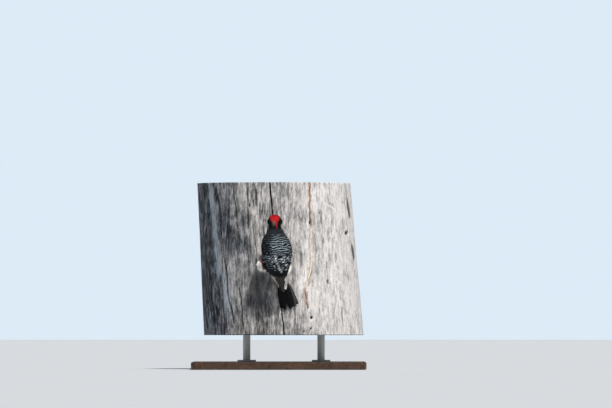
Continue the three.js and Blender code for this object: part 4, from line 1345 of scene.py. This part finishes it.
# The loose flank feathers: on the left a puff of them stands out past the wing's edge, white with a rosy
# wash on top, and on each side a narrow line of them lies over the edge of the folded wing. They are closed
# vanes like the others, and spring from the skin under the wing's edge.

FRINGE_RINGS = 14
WING_EDGE_Z = (-14, -10, -6, -2, 2, 7)
WING_EDGE_X = (-19, -20, -21, -23, -25, -27.5)
EDGE_LINES = {-1: [(-25.4, -8), (-22.4, -13.2), (-17.2, -19.6), (-11.6, -26), (-8, -31)],
              1: [(21.6, 9), (20.6, -1), (18.9, -9), (16.6, -16), (14.8, -21.5), (13, -28), (11.5, -34),
                  (10.2, -44)]}
FAR_OUT = -200
FRINGE_POINTED, FRINGE_SPLITS = 0.5, 0.3
FRINGE_SWEEP, FRINGE_ARCH = 0.5, 0.25
FRINGE_THICKNESS = 0.2
PUFF_ROWS = np.arange(-11, 7.6, 1.45)
PUFF_SHARES = (1, 0.8, 0.6, 0.4, 0.2, 0)
PUFF_FACING = np.array([-0.12, -0.86, 0.5])
PUFF_FALL = np.array([[-0.25, 0.25, -1.0]])
PUFF_DROOP = 0.55
PUFF_OUTER, PUFF_STEP = -33, 0.5
PUFF_SEARCH = 0.175
COVER_ROWS = 12
COVER_END = -27
COVER_LIFT, COVER_SEARCH = 7 * MM, 8 * MM
COVER_ROW_STEP = 1.05 * MM


def tree_over(pieces):
    """A search tree over the skin and some finished pieces."""
    points, faces = skin_points.tolist(), skin_quads.tolist()
    for piece in pieces:
        first = len(points)
        points = points + numbers_of(piece.data.vertices, "co", float, 3).tolist()
        faces = faces + [tuple(first + corner for corner in face.vertices) for face in piece.data.polygons]
    return BVHTree.FromPolygons(points, faces)


def seen_from_outside(tree, x, z, *limit):
    """Where lines straight in towards the trunk first meet the bird, or None, at some places."""
    starts = metres(np.stack([x, FAR_OUT + 0 * x, z + 0 * x], -1)).tolist()
    return [tree.ray_cast(start, (0, 1, 0), *limit)[0] for start in starts]


def reach_out(tree, x, z):
    """How far out from the trunk the bird's surface is at some places, with the places beside it bridged."""
    out = np.array([np.nan if hit is None else bird_mm(hit)[1] for hit in seen_from_outside(tree, x, z)])
    known = np.flatnonzero(~np.isnan(out))
    return np.interp(np.arange(len(x)), known, out[known])


def fringe_paint(bird_points):
    """White, dulled at the lower left and the upper right, with the flesh colour and shade of the puff."""
    x, z = bird_points[:, 0], bird_points[:, 2]
    # the lower left of the white fringe is dulled to dark olive as painted shade
    ground = blend(all_over(WHITE * 1.15, x), OLIVE * 0.45, 0.9 * smoothstep(-13, -18, z) * (x < 0))
    ground = blend(ground, OLIVE * 1.2, 0.6 * smoothstep(-14, -2, z) * (x > 0))
    ground = blend(ground, ROSE, 0.75 * smoothstep(-1.5, 3.5, z) * smoothstep(-33.5, -30, x) * (x < 0))
    # past the wing's edge line on the lower right the feathers darken, partly dusky flank colour and partly
    # painted shade
    line_x, line_z = np.array(EDGE_LINES[1][::-1]).T
    below = smoothstep(2.6, 4.4, x - np.interp(z, line_z, line_x)) * smoothstep(-14, -22, z) * (x > 0)
    ground = blend(ground, DUSKY * 0.8, 0.85 * below)
    # beside the wing the puff turns darker rose, then dusky: painted shade in the gap between them
    inner = smoothstep(-29.4, -27.2, x + 0.35 * (z + 4) * (z < -4)) * smoothstep(-14, -10.5, z) * (x < 0)
    ground = blend(ground, ROSE * 0.62, 0.85 * inner)
    ground = blend(ground, DUSKY * 0.5, inner * smoothstep(-27, -25, x) * smoothstep(6, 0, z))
    return ground, all_over(DUSKY, x), 0 * x, 0 * x


def fringe_colours(t, v, bird_points):
    return fringe_paint(bird_points)


def free_vane(piece, spine, facing, half, rng):
    """A flank feather along a spine, that faces one way."""
    turned = unit(np.gradient(spine, axis=0))
    up = unit(facing[None] - turned * (turned * facing[None]).sum(1, keepdims=True))
    right = np.cross(turned, up)
    t = np.linspace(0, 1, FRINGE_RINGS)[:, None]
    width = half * outline_share(t, FRINGE_POINTED)
    spread = split_barbs(rng, FRINGE_RINGS, FRINGE_SPLITS)
    sweep = -FRINGE_SWEEP * width * np.abs(VANE_ACROSS)[None, :] * t
    top = (spine[:, None] + right[:, None] * (width * spread)[..., None] + turned[:, None] * sweep[..., None]
           - up[:, None] * (FRINGE_ARCH * width * VANE_ACROSS[None, :] ** 2)[..., None])
    up_all = np.repeat(up[:, None], len(VANE_ACROSS), 1)
    length = np.linalg.norm(np.diff(spine, axis=0), axis=1).sum()
    rings = metres(close_vane(top, up_all, FRINGE_THICKNESS))
    piece.add(rings, length * MM, half * MM, rng.random(), fringe_colours)


def puff_out(piece, tree, rng):
    """The puff on the left flank: feathers in rows, the lower rows first, that stand off the skin."""
    t = np.linspace(0, 1, FRINGE_RINGS)[:, None]
    for root_z in PUFF_ROWS:
        inner = np.interp(root_z, WING_EDGE_Z, WING_EDGE_X)
        beside = np.arange(PUFF_OUTER, inner, PUFF_STEP)
        seen = [hit is not None for hit in seen_from_outside(tree, beside, root_z, PUFF_SEARCH)]
        outer = beside[int(np.argmax(seen))]
        for share in PUFF_SHARES:
            x = inner + (outer + 0.4 - inner) * share + 0.6 * (rng.random() - 0.5)
            z = root_z + 1.2 * (rng.random() - 0.5)
            y = min(reach_out(tree, np.array([x, inner - 0.5]), np.array([z, z]))[0], -26)
            sideways = -0.34 - 0.24 * smoothstep(-4, 6, z)
            way = unit(np.array([sideways + 0.12 * rng.random(), -0.68 + 0.08 * share, -0.76]))
            length = np.clip((z + 15.8) / 0.75, 5.5, 10.5) * (0.9 + 0.2 * rng.random())
            turned = unit(way[None] * (1 - PUFF_DROOP * t) + PUFF_FALL * PUFF_DROOP * t)
            spine = np.array([x, y + 0.8, z]) + np.cumsum(turned, 0) * length / FRINGE_RINGS
            facing = unit(PUFF_FACING + 0.2 * (rng.random(3) - 0.5))
            free_vane(piece, spine, facing, 1.25 + 0.2 * rng.random(), rng)


def edge_line(tree, sign, spacing):
    """Places along the pale edge of a folded wing, and how far each is along it."""
    corners = np.array(EDGE_LINES[sign])
    walked = np.append(0, np.cumsum(np.linalg.norm(np.diff(corners, axis=0), axis=1)))
    steps = np.arange(0, walked[-1], spacing)
    x, z = np.interp(steps, walked, corners[:, 0]), np.interp(steps, walked, corners[:, 1])
    return steps, np.stack([x, reach_out(tree, x - 0.8 * sign, z), z], -1)


def cover_edge(side, tree, sign, rng):
    """Flank feathers that overlap the folded wing, from the line of its pale edge back to the flank."""
    def lay(points):
        places, ups = settle(points)
        outer = [tree.ray_cast(start, way, COVER_SEARCH)[0]
                 for start, way in zip((places + ups * COVER_LIFT).tolist(), (-ups).tolist())]
        return np.array([place if hit is None else hit for place, hit in zip(places, outer)]), ups

    steps, line = edge_line(tree, sign, 1.15)
    high = line[:, 2] > COVER_END
    steps, place = steps[high], metres(line[high])
    roots = []
    for row in range(COVER_ROWS):
        place, up = lay(place)
        kept = steps > row * (1.0 if sign > 0 else 0.2)
        roots.append(place[kept] + 0.5 * MM * (rng.random((kept.sum(), 3)) - 0.5))
        place = place + on_tangent(np.tile([0.3 * sign, 1, 0], (len(place), 1)), up) * COVER_ROW_STEP
    roots = np.concatenate(roots)
    tract = np.full(len(roots), number_of(f"flank_{side}"))
    grow_feathers(f"{side}_wing_edge_cover", roots, tract, rng, lay, paint=fringe_paint)


def line_edge(piece, tree, rng):
    """A few broad feathers that run on beside the wing's tip, on the right."""
    steps, line = edge_line(tree, 1, 0.5)
    line[:, 1] = np.convolve(np.pad(line[:, 1], 4, mode="edge"), np.ones(9) / 9, "valid")
    for start in np.arange(steps[-1] - 6.5, 12, -1.25):
        lifted = 1.4 + 1.8 * smoothstep(8, 20, start)
        for row in (-1, 1):
            along = start + 0.6 * row + np.linspace(0, 6 + rng.random(), FRINGE_RINGS)
            spine = np.stack([np.interp(along, steps, line[:, k]) for k in range(3)], -1)
            spine[:, 0] += 0.7 * row + 0.7 * (rng.random() - 0.5)
            spine[:, 1] -= 0.4 + lifted * np.linspace(0, 1, FRINGE_RINGS) ** 0.8
            facing = unit(np.array([0.2 + 0.2 * row, -0.85, 0.55]))
            free_vane(piece, spine, facing, 1.3 + 0.3 * rng.random(), rng)


for side, sign in (("left", -1), ("right", 1)):
    fringe_rng = np.random.default_rng(77 + sign)
    flank_tree = tree_over(wing_pieces[side])
    cover_edge(side, flank_tree, sign, fringe_rng)
    fringe = VanePiece(f"{side}_flank_fringe")
    if sign < 0:
        puff_out(fringe, flank_tree, fringe_rng)
    else:
        line_edge(fringe, flank_tree, fringe_rng)
    fringe.finish("pale_feathers")


# The tail: ten stiff, pointed feathers in a half open fan, pressed towards the trunk. Each is a closed vane
# with a strong shaft that ends in a spine, under the feather nearer the middle.

TAIL_ROOT = np.array([4.3, -36, -28])
TAIL_LEAN = math.radians(11.5)
TAIL_SLOPE = math.radians(43)
TAIL_FLEX = math.radians(20)
TAIL_LENGTH = 62
TAIL_STEP = {1: 0.9, -1: 1.2}
TAIL_RINGS = 34
TAIL_PAIRS = 5
TAIL_FEATHER_WIDTH = 8.6
TAIL_THICKNESS = 0.42 * MM
TAIL_SPLITS = 0.07
OUTER_WEB, INNER_WEB = 0.82, 1.16
SHAFT_ASIDE = 0.09
TAIL_ARCH, TAIL_SHAFT_HEIGHT = 0.4, 0.22
TAIL_LAYER = 0.95
TAIL_STAGGER = 0.5
POINTED_TIP, BLUNT_TIP = (0.3, 1.7), (0.08, 4)
FAN = {1: math.radians(2.55), -1: math.radians(0.5)}
TAIL_BROWN = np.array([0.080, 0.072, 0.068])
TAIL_BLACK = np.array([0.004, 0.0045, 0.006])


def on_tail(along, across, layer):
    """The place at a distance along the bent fan, a distance across it and a height over it."""
    radius = TAIL_LENGTH / TAIL_FLEX
    slope = TAIL_SLOPE - along / radius
    inward = radius * (np.cos(slope) - math.cos(TAIL_SLOPE)) - layer * np.cos(slope)
    downward = radius * (math.sin(TAIL_SLOPE) - np.sin(slope)) + layer * np.sin(slope)
    return np.stack([TAIL_ROOT[0] + downward * math.sin(TAIL_LEAN) + across * math.cos(TAIL_LEAN),
                     TAIL_ROOT[1] + inward,
                     TAIL_ROOT[2] - downward * math.cos(TAIL_LEAN) + across * math.sin(TAIL_LEAN)], -1)


def tail_colours(sign, pair):
    """Black, or worn brown on the outer right feathers, with a few faint bars near the root."""
    base = TAIL_BLACK if pair < 3 or sign < 0 else TAIL_BROWN

    def colours(t, v, bird_points):
        ground = blend(all_over(base, t), base * 0.5, 0.8 * (np.abs(v) < 0.06))
        web = smoothstep(0.1, 0.25, -sign * v) if pair == 0 else smoothstep(0.35, 0.6, sign * v)
        return ground, all_over(GREY_WHITE * 0.3, t), t * 9 + 0.4 * v, 0.1 * web * (t < 0.3)
    return colours


def tail_feather(piece, sign, pair, rng):
    fan = sign * FAN[sign] * (pair + 0.35)
    length = TAIL_LENGTH - TAIL_STEP[sign] * pair
    t = np.linspace(0, 1, TAIL_RINGS)[:, None]
    v = VANE_ACROSS[None, :]
    filling = 0.5 + 0.5 * np.minimum(1, t * 2.5)
    pointed, sharpness = POINTED_TIP if pair < TAIL_PAIRS - 1 else BLUNT_TIP
    narrowing = np.clip(1 - np.maximum(0, (t - 1 + pointed) / pointed) ** sharpness, 0.05, 1)
    spread = split_barbs(rng, TAIL_RINGS, TAIL_SPLITS)
    middle = sign * (TAIL_FEATHER_WIDTH * filling / 2 + 0.15 + pair * TAIL_STAGGER * filling)
    lopsided = np.where(sign * v > 0, OUTER_WEB, INNER_WEB)
    half = 0.5 * TAIL_FEATHER_WIDTH * filling * narrowing * lopsided
    sideways = middle - sign * SHAFT_ASIDE * TAIL_FEATHER_WIDTH + spread * half
    along = t * length - 0.25 * np.abs(spread) * TAIL_FEATHER_WIDTH * (1 - narrowing) * 0.6
    down = along * math.cos(fan) - sideways * math.sin(fan)
    across = along * math.sin(fan) + sideways * math.cos(fan)
    shaft = TAIL_SHAFT_HEIGHT * shaft_height(v) * (1 - 0.4 * t)
    rise = -TAIL_LAYER * pair + 0.28 - TAIL_ARCH * v ** 2 + shaft
    top = metres(on_tail(down, across, rise))
    up = unit(top - metres(on_tail(down, across, rise - 1)))
    piece.add(close_vane(top, up, TAIL_THICKNESS), length * MM, TAIL_FEATHER_WIDTH / 2 * MM, rng.random(),
              tail_colours(sign, pair))


tail_rng = np.random.default_rng(61)
tail = VanePiece("tail_feathers")
tail_nodes = []
for sign, side in ((-1, "left"), (1, "right")):
    for pair in reversed(range(TAIL_PAIRS)):
        tail_feather(tail, sign, pair, tail_rng)
        tail_nodes.append(f"tail_feather_{side}_{pair + 1}")
tail_piece = tail.finish("flight_feathers", *tail_nodes)


# The tail coverts and the rump's feathers: contour feathers in one piece, which run from the skin on over
# the roots of the tail, so that no gap shows between the two.

RUMP_END = -37.5


def skin_and_tail():
    tree = tree_over([tail_piece])

    def lay(points):
        found = [tree.find_nearest(point) for point in points.tolist()]
        ups = np.array([hit[1] for hit in found])
        numbers = np.array([hit[2] for hit in found])
        on_skin = numbers < len(face_ups)
        ups[on_skin] = face_ups[numbers[on_skin]]
        return np.array([hit[0] for hit in found]), unit(ups)

    return lay


is_rump = (root_tract == number_of("rump")) & (bird_mm(roots)[:, 2] > RUMP_END)
grow_feathers("rump_and_tail_coverts", roots[is_rump], root_tract[is_rump], feather_rng,
              skin_and_tail())


# The bill: straight and chisel-tipped, of dark grey horn, in two halves that meet along the gape. The upper
# half has a ridge along its top and a groove over each nostril.

BILL_FAR_ROOT = np.array([-6.2, -35.5, 61.75])
BILL_TIP = np.array([-6.2, -6.4, 60.4])
BILL_HEIGHT = 8.4
BILL_WIDTH = 7.6
UPPER_SHARE = 0.56
GAPE_HALF = 0.05
BILL_HIDDEN = 5.6 / 29.1
BILL_RINGS = 44
BILL_STEPS = 14
LOWER_SHORTER = 0.7
BILL_TAPER, BILL_POINT, BLADE_HALF = 0.74, 0.02, 0.16
NOSTRIL_DEPTH, NOSTRIL_ANGLE = 0.35, 0.75


def horn_material(name, dark, pale):
    n = Nodes(name)
    grain = n.noise(n.coordinates(scale=(1, 0.12, 1)), 900, 4, 0.65)
    wear = n.noise(n.coordinates(), 160, 3, 0.6)
    colour = n.mix(n.steps(wear, 0.45, 0.7, 0, 0.6), n.ramp(grain, [(0.3, dark), (0.7, pale)]), pale)
    return n.finish(colour, n.steps(grain, 0.3, 0.7, 0.3, 0.44), n.bump(grain, 0.25, 0.00015))


def closed_tube(name, rings, turned):
    """A closed tube through rings of points, with its end faces; turned, 1 or -1, tells which way they go."""
    rows, columns = rings.shape[:2]
    faces = grid_faces(rows, columns, True)[:, ::-turned]
    return new_mesh(name, metres(rings.reshape(-1, 3)), [faces, end_caps(rows, columns)[::-1, ::turned]])


horn = horn_material("bill_horn", (0.014, 0.014, 0.016), (0.05, 0.052, 0.056))


def build_bill(name, sign, node):
    """One half of the bill, the upper one with a sign of 1."""
    t = np.linspace(0, 1, BILL_RINGS)[:, None]
    angle = np.linspace(0, math.pi, BILL_STEPS)[None, :]
    free = np.clip((t - BILL_HIDDEN) / (1 - BILL_HIDDEN), 0, 1)
    slim = np.maximum((1 - free) ** BILL_TAPER, BILL_POINT) * (1 - 0.12 * np.clip(1 - t / BILL_HIDDEN, 0, 1))
    blade = np.maximum(slim, BLADE_HALF * (free < 0.97))
    share, breadth, keeled, shorter = (UPPER_SHARE, 1.0, 1.25, 0) if sign > 0 else (
        1 - UPPER_SHARE, 0.93, 0.9, LOWER_SHORTER)
    tall = BILL_HEIGHT * share * slim
    wide = BILL_WIDTH / 2 * np.minimum(blade, 1) * breadth
    x = np.cos(angle) * wide * (1 - 0.1 * np.sin(2 * angle) ** 2)
    nostrils = sum(-NOSTRIL_DEPTH * np.exp(-((angle - middle) / 0.22) ** 2)
                   for middle in (NOSTRIL_ANGLE, math.pi - NOSTRIL_ANGLE))
    hollow = nostrils * np.exp(-((free - 0.02) / 0.16) ** 2) if sign > 0 else 0
    z = sign * (tall * np.sin(angle) ** keeled + hollow + GAPE_HALF)
    y = BILL_FAR_ROOT[1] + t * (BILL_TIP[1] - BILL_FAR_ROOT[1] - shorter) + 0 * angle
    fall = BILL_FAR_ROOT[2] + (BILL_TIP[2] - BILL_FAR_ROOT[2]) * t + 0.35 * np.sin(math.pi * t)
    over = np.stack([BILL_FAR_ROOT[0] + x + 0 * t, y, fall + z], -1)
    shares = np.array([0.66, 0.33, 0, -0.33, -0.66])[None, :]
    under = np.stack([BILL_FAR_ROOT[0] - wide * shares, y[:, :5], fall + sign * GAPE_HALF + 0 * shares], -1)
    piece = closed_tube(name, np.concatenate([over, under], 1), -sign)
    piece.data.materials.append(horn)
    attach(piece, "root")
    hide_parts(node)


build_bill("upper_bill", 1, "bill_upper")
build_bill("lower_bill", -1, "bill_lower")


# The eyes: glossy balls with a dark brown iris round a black pupil, behind lids of bare dark skin, which
# are closed rings with a fine fold.

EYE_RADIUS = 2.9
EYE_AIM = unit(np.array([1, 0.26, 0.08]))
EYE_RINGS = 26
EYE_STEPS = 40
EYE_POLE = 0.02
CORNEA_RISE, CORNEA_REACH = 0.035, 0.5
LID_STEPS = 12
LID_OPENING = np.radians(52)
LID_HALF_WIDTH = np.radians(4.5)
LID_OUTWARDS = np.radians(4)
LID_THICKNESS, LID_GAP = 0.24, 0.06
LID_NARROWED, LID_FOLDS = 0.10, 0.14


def eye_material():
    n = Nodes("dark_eye")
    reach = n.attribute("reach")
    fibres = n.noise(n.coordinates(), 4200, 3, 0.6)
    iris = n.ramp(fibres, [(0.35, (0.018, 0.006, 0.003)), (0.65, (0.06, 0.02, 0.009))])
    rimmed = n.mix(n.steps(reach, 0.62, 0.72), iris, (0.01, 0.006, 0.005))
    colour = n.mix(n.steps(reach, 0.44, 0.47), (0.002, 0.002, 0.002), rimmed)
    return n.finish(colour, n.steps(fibres, 0.3, 0.7, 0.05, 0.08),
                    Specular_IOR_Level=0.12, Coat_Weight=0.3, Coat_Roughness=0.02)


def lid_material():
    n = Nodes("lid_skin")
    grain = n.noise(n.coordinates(), 2600, 3, 0.6)
    colour = n.ramp(grain, [(0.35, (0.008, 0.008, 0.009)), (0.65, (0.028, 0.027, 0.026))])
    return n.finish(colour, n.steps(grain, 0.3, 0.7, 0.55, 0.75), n.bump(grain, 0.5, 0.00012),
                    Specular_IOR_Level=0.25)


eye_finish, lid_finish = eye_material(), lid_material()


def eye_frame(sign):
    """The eye's directions: out of the head, forwards and upwards."""
    out = EYE_AIM * np.array([sign, 1, 1])
    fore = unit(np.cross(np.array([0, 0, 1.0]), out)) * -sign
    upward = np.cross(out, fore) * sign
    return out, fore, upward if upward[2] > 0 else -upward


def build_eye(side, sign):
    middle = eye_middle(sign)
    out, fore, upward = eye_frame(sign)
    turned = 1 if np.dot(np.cross(fore, upward), out) > 0 else -1
    turn = np.linspace(0, 2 * math.pi, EYE_STEPS, endpoint=False)[None, :]

    def towards(polar):
        return (np.cos(polar)[..., None] * out + (np.sin(polar) * np.cos(turn))[..., None] * fore
                + (np.sin(polar) * np.sin(turn))[..., None] * upward)

    polar = np.linspace(EYE_POLE, math.pi - EYE_POLE, EYE_RINGS)[:, None]
    bulge = 1 + CORNEA_RISE * np.exp(-(polar / CORNEA_REACH) ** 2)
    eye = closed_tube(f"{side}_eye", middle + towards(polar) * (EYE_RADIUS * bulge)[..., None], turned)
    set_attribute(eye, "reach", (np.sin(polar) + (polar > math.pi / 2) + 0 * turn).ravel())
    eye.data.materials.append(eye_finish)
    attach(eye, "root")
    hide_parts(f"eye_{side}")
    # the lids: a ring that hugs the ball, narrower above and below than at the corners
    section_turns = np.linspace(0, 2 * math.pi, LID_STEPS, endpoint=False)[:, None]
    opening = LID_OPENING * (1 + LID_NARROWED * np.cos(2 * turn)) + 0 * section_turns
    thick = LID_THICKNESS * (1 + LID_FOLDS * np.cos(5 * section_turns))
    reach = opening + np.cos(section_turns) * LID_HALF_WIDTH + LID_OUTWARDS
    raised = EYE_RADIUS + LID_GAP + thick * np.sin(section_turns)
    ring = middle + towards(reach) * raised[..., None]
    tube = grid_faces(LID_STEPS + 1, EYE_STEPS, True) % (LID_STEPS * EYE_STEPS)
    lid = new_mesh(f"{side}_eyelids", metres(ring.reshape(-1, 3)), [tube[:, ::turned]])
    lid.data.materials.append(lid_finish)
    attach(lid, "root")


for side, sign in (("left", -1), ("right", 1)):
    build_eye(side, sign)


# The legs and feet: bare shanks and four toes to a foot, two forward and two back, covered in olive-grey
# scutes, each foot one skin over its solids. The claws are strong curved horn.

TOE_NAMES = ("hallux", "inner", "middle", "outer")
SCUTE = 1.35
FOOT_ACROSS = -2.6
FOOT_APART = 27
FOOT_OUT = -1.7
FOOT_RAISED = 5.0
FOOT_GROWN = 0.36 * MM
FOOT_VOXEL = 0.25 * MM
FOOT_SMOOTHING = 5
GROWTH_TAKEN_BACK = 0.8
GROOVE_DEPTH, SCUTE_HEIGHT, PAD_DEPTH = 0.13, 0.07, 0.05
CLAW_GROWN = 0.04 * MM


def scute_material():
    n = Nodes("leg_scutes")
    grain = n.noise(n.coordinates(), 1500, 4, 0.6)
    base = n.ramp(grain, [(0.3, (0.10, 0.108, 0.09)), (0.7, (0.22, 0.225, 0.19))])
    colour = n.mix(n.times(n.attribute("groove"), 0.75), base, (0.045, 0.045, 0.038))
    return n.finish(colour, n.steps(grain, 0.3, 0.7, 0.42, 0.6), n.bump(grain, 0.4, 0.00012))


scutes = scute_material()


def build_foot(side, sign):
    nodes = [f"tarsus_{side}"] + [f"toe_{side}_{toe}" for toe in TOE_NAMES]
    foot = np.array([FOOT_ACROSS + sign * FOOT_APART / 2, FOOT_OUT, FOOT_RAISED + 0.6])
    points, quads = remeshed(merged_copy("foot", nodes, FOOT_GROWN, foot), FOOT_VOXEL,
                             FOOT_SMOOTHING)
    ups = surface_normals(points, quads)
    points = points - ups * GROWTH_TAKEN_BACK * FOOT_GROWN
    places = bird_mm(points)
    reach = np.linalg.norm(places - foot, axis=1)
    upper = ups[:, 1] < 0.25
    saw = np.abs((reach / SCUTE) % 1 - 0.5) * 2
    groove = smoothstep(0.72, 0.95, saw) * upper
    pads = 0.5 + 0.5 * np.sin(places[:, 0] * 5) * np.sin(places[:, 2] * 5)
    relief = -GROOVE_DEPTH * groove + SCUTE_HEIGHT * (1 - saw) * upper - PAD_DEPTH * pads * (~upper)
    piece = new_mesh(f"{side}_foot", points + ups * (relief * MM)[:, None], [quads])
    set_attribute(piece, "groove", np.where(upper, groove, 0.5 * pads))
    piece.data.materials.append(scutes)
    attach(piece, "root")
    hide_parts(*nodes)


claw_horn = horn_material("claw_horn", (0.02, 0.019, 0.018), (0.075, 0.07, 0.062))


def build_claw(side, toe):
    node = f"claw_{side}_{toe}"
    piece = merged_copy(f"{side}_{toe}_claw", [node], CLAW_GROWN)
    finer = piece.modifiers.new("finer", "SUBSURF")
    finer.levels = finer.render_levels = 2
    mesh = bpy.data.meshes.new_from_object(piece.evaluated_get(bpy.context.evaluated_depsgraph_get()))
    piece.modifiers.remove(finer)
    piece.data = mesh
    mesh.shade_smooth()
    mesh.materials.clear()
    mesh.materials.append(claw_horn)
    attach(piece, "root")
    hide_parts(node)


for side, sign in (("left", -1), ("right", 1)):
    build_foot(side, sign)
    for toe in TOE_NAMES:
        build_claw(side, toe)


# The floor, the backdrop and the light: a plain pale floor that keeps the shadows, a pale blue-white sky
# behind, which lights the shaded sides weakly, and one warm sun from the upper right in front.

SKY_LIGHT = ((0.86, 0.93, 1, 1), 0.18)
SKY_SEEN = ((0.72, 0.83, 0.93, 1), 1.0)
SUN_FROM = (0.235, -0.565, 0.79)
SUN_STRENGTH = 3.55
SUN_SOFTNESS = math.radians(3)
SUN_COLOUR = (1, 0.975, 0.94)
FLOOR_SIZE, FLOOR_DROP = 60, 0.0002


def studio_floor():
    bpy.ops.mesh.primitive_plane_add(size=FLOOR_SIZE, location=(0, 0, -FLOOR_DROP))
    floor = bpy.context.object
    floor.name = "floor"
    n = Nodes("pale_floor")
    colour = n.ramp(n.noise(n.coordinates(), 6, 2), [(0.3, (0.66, 0.69, 0.73)), (0.7, (0.68, 0.71, 0.75))])
    floor.data.materials.append(n.finish(colour, 0.9, Specular_IOR_Level=0.1))


def sky_world():
    world = bpy.data.worlds.new("studio")
    bpy.context.scene.world = world
    world.use_nodes = True
    tree = world.node_tree
    tree.nodes.clear()
    output = tree.nodes.new("ShaderNodeOutputWorld")
    path = tree.nodes.new("ShaderNodeLightPath")
    mix = tree.nodes.new("ShaderNodeMixShader")
    tree.links.new(path.outputs["Is Camera Ray"], mix.inputs[0])
    for number, (colour, strength) in enumerate((SKY_LIGHT, SKY_SEEN), 1):
        background = tree.nodes.new("ShaderNodeBackground")
        background.inputs[0].default_value = colour
        background.inputs[1].default_value = strength
        tree.links.new(background.outputs[0], mix.inputs[number])
    tree.links.new(mix.outputs[0], output.inputs[0])


def sunlight():
    lamp = bpy.data.lights.new("key", "SUN")
    lamp.angle = SUN_SOFTNESS
    lamp.energy = SUN_STRENGTH
    lamp.color = SUN_COLOUR
    holder = bpy.data.objects.new("key", lamp)
    holder.rotation_euler = (-Vector(SUN_FROM)).to_track_quat("-Z", "Y").to_euler()
    bpy.context.scene.collection.objects.link(holder)


VIEW_ACROSS = 43.5 * MM
VIEW_HEIGHT = 264.8 * MM
VIEW_WIDTH = 0.979
VIEW_OUT = -0.1
CAMERA_DISTANCE = 14.0
CAMERA_HEIGHT = 0.07
SENSOR_WIDTH = 36
SEEN_AS_FAR_AS = 200


def set_camera():
    camera = bpy.data.cameras.new("camera")
    holder = bpy.data.objects.new("camera", camera)
    bpy.context.scene.collection.objects.link(holder)
    target = Vector((VIEW_ACROSS, VIEW_OUT, VIEW_HEIGHT))
    holder.location = (VIEW_ACROSS, VIEW_OUT - CAMERA_DISTANCE, CAMERA_HEIGHT)
    holder.rotation_euler = (target - holder.location).to_track_quat("-Z", "Y").to_euler()
    camera.sensor_width = SENSOR_WIDTH
    camera.lens = SENSOR_WIDTH * (target - holder.location).length / VIEW_WIDTH
    camera.clip_end = SEEN_AS_FAR_AS
    bpy.context.scene.camera = holder


studio_floor()
sky_world()
sunlight()
set_camera()
bpy.context.scene.view_settings.view_transform = "Standard"
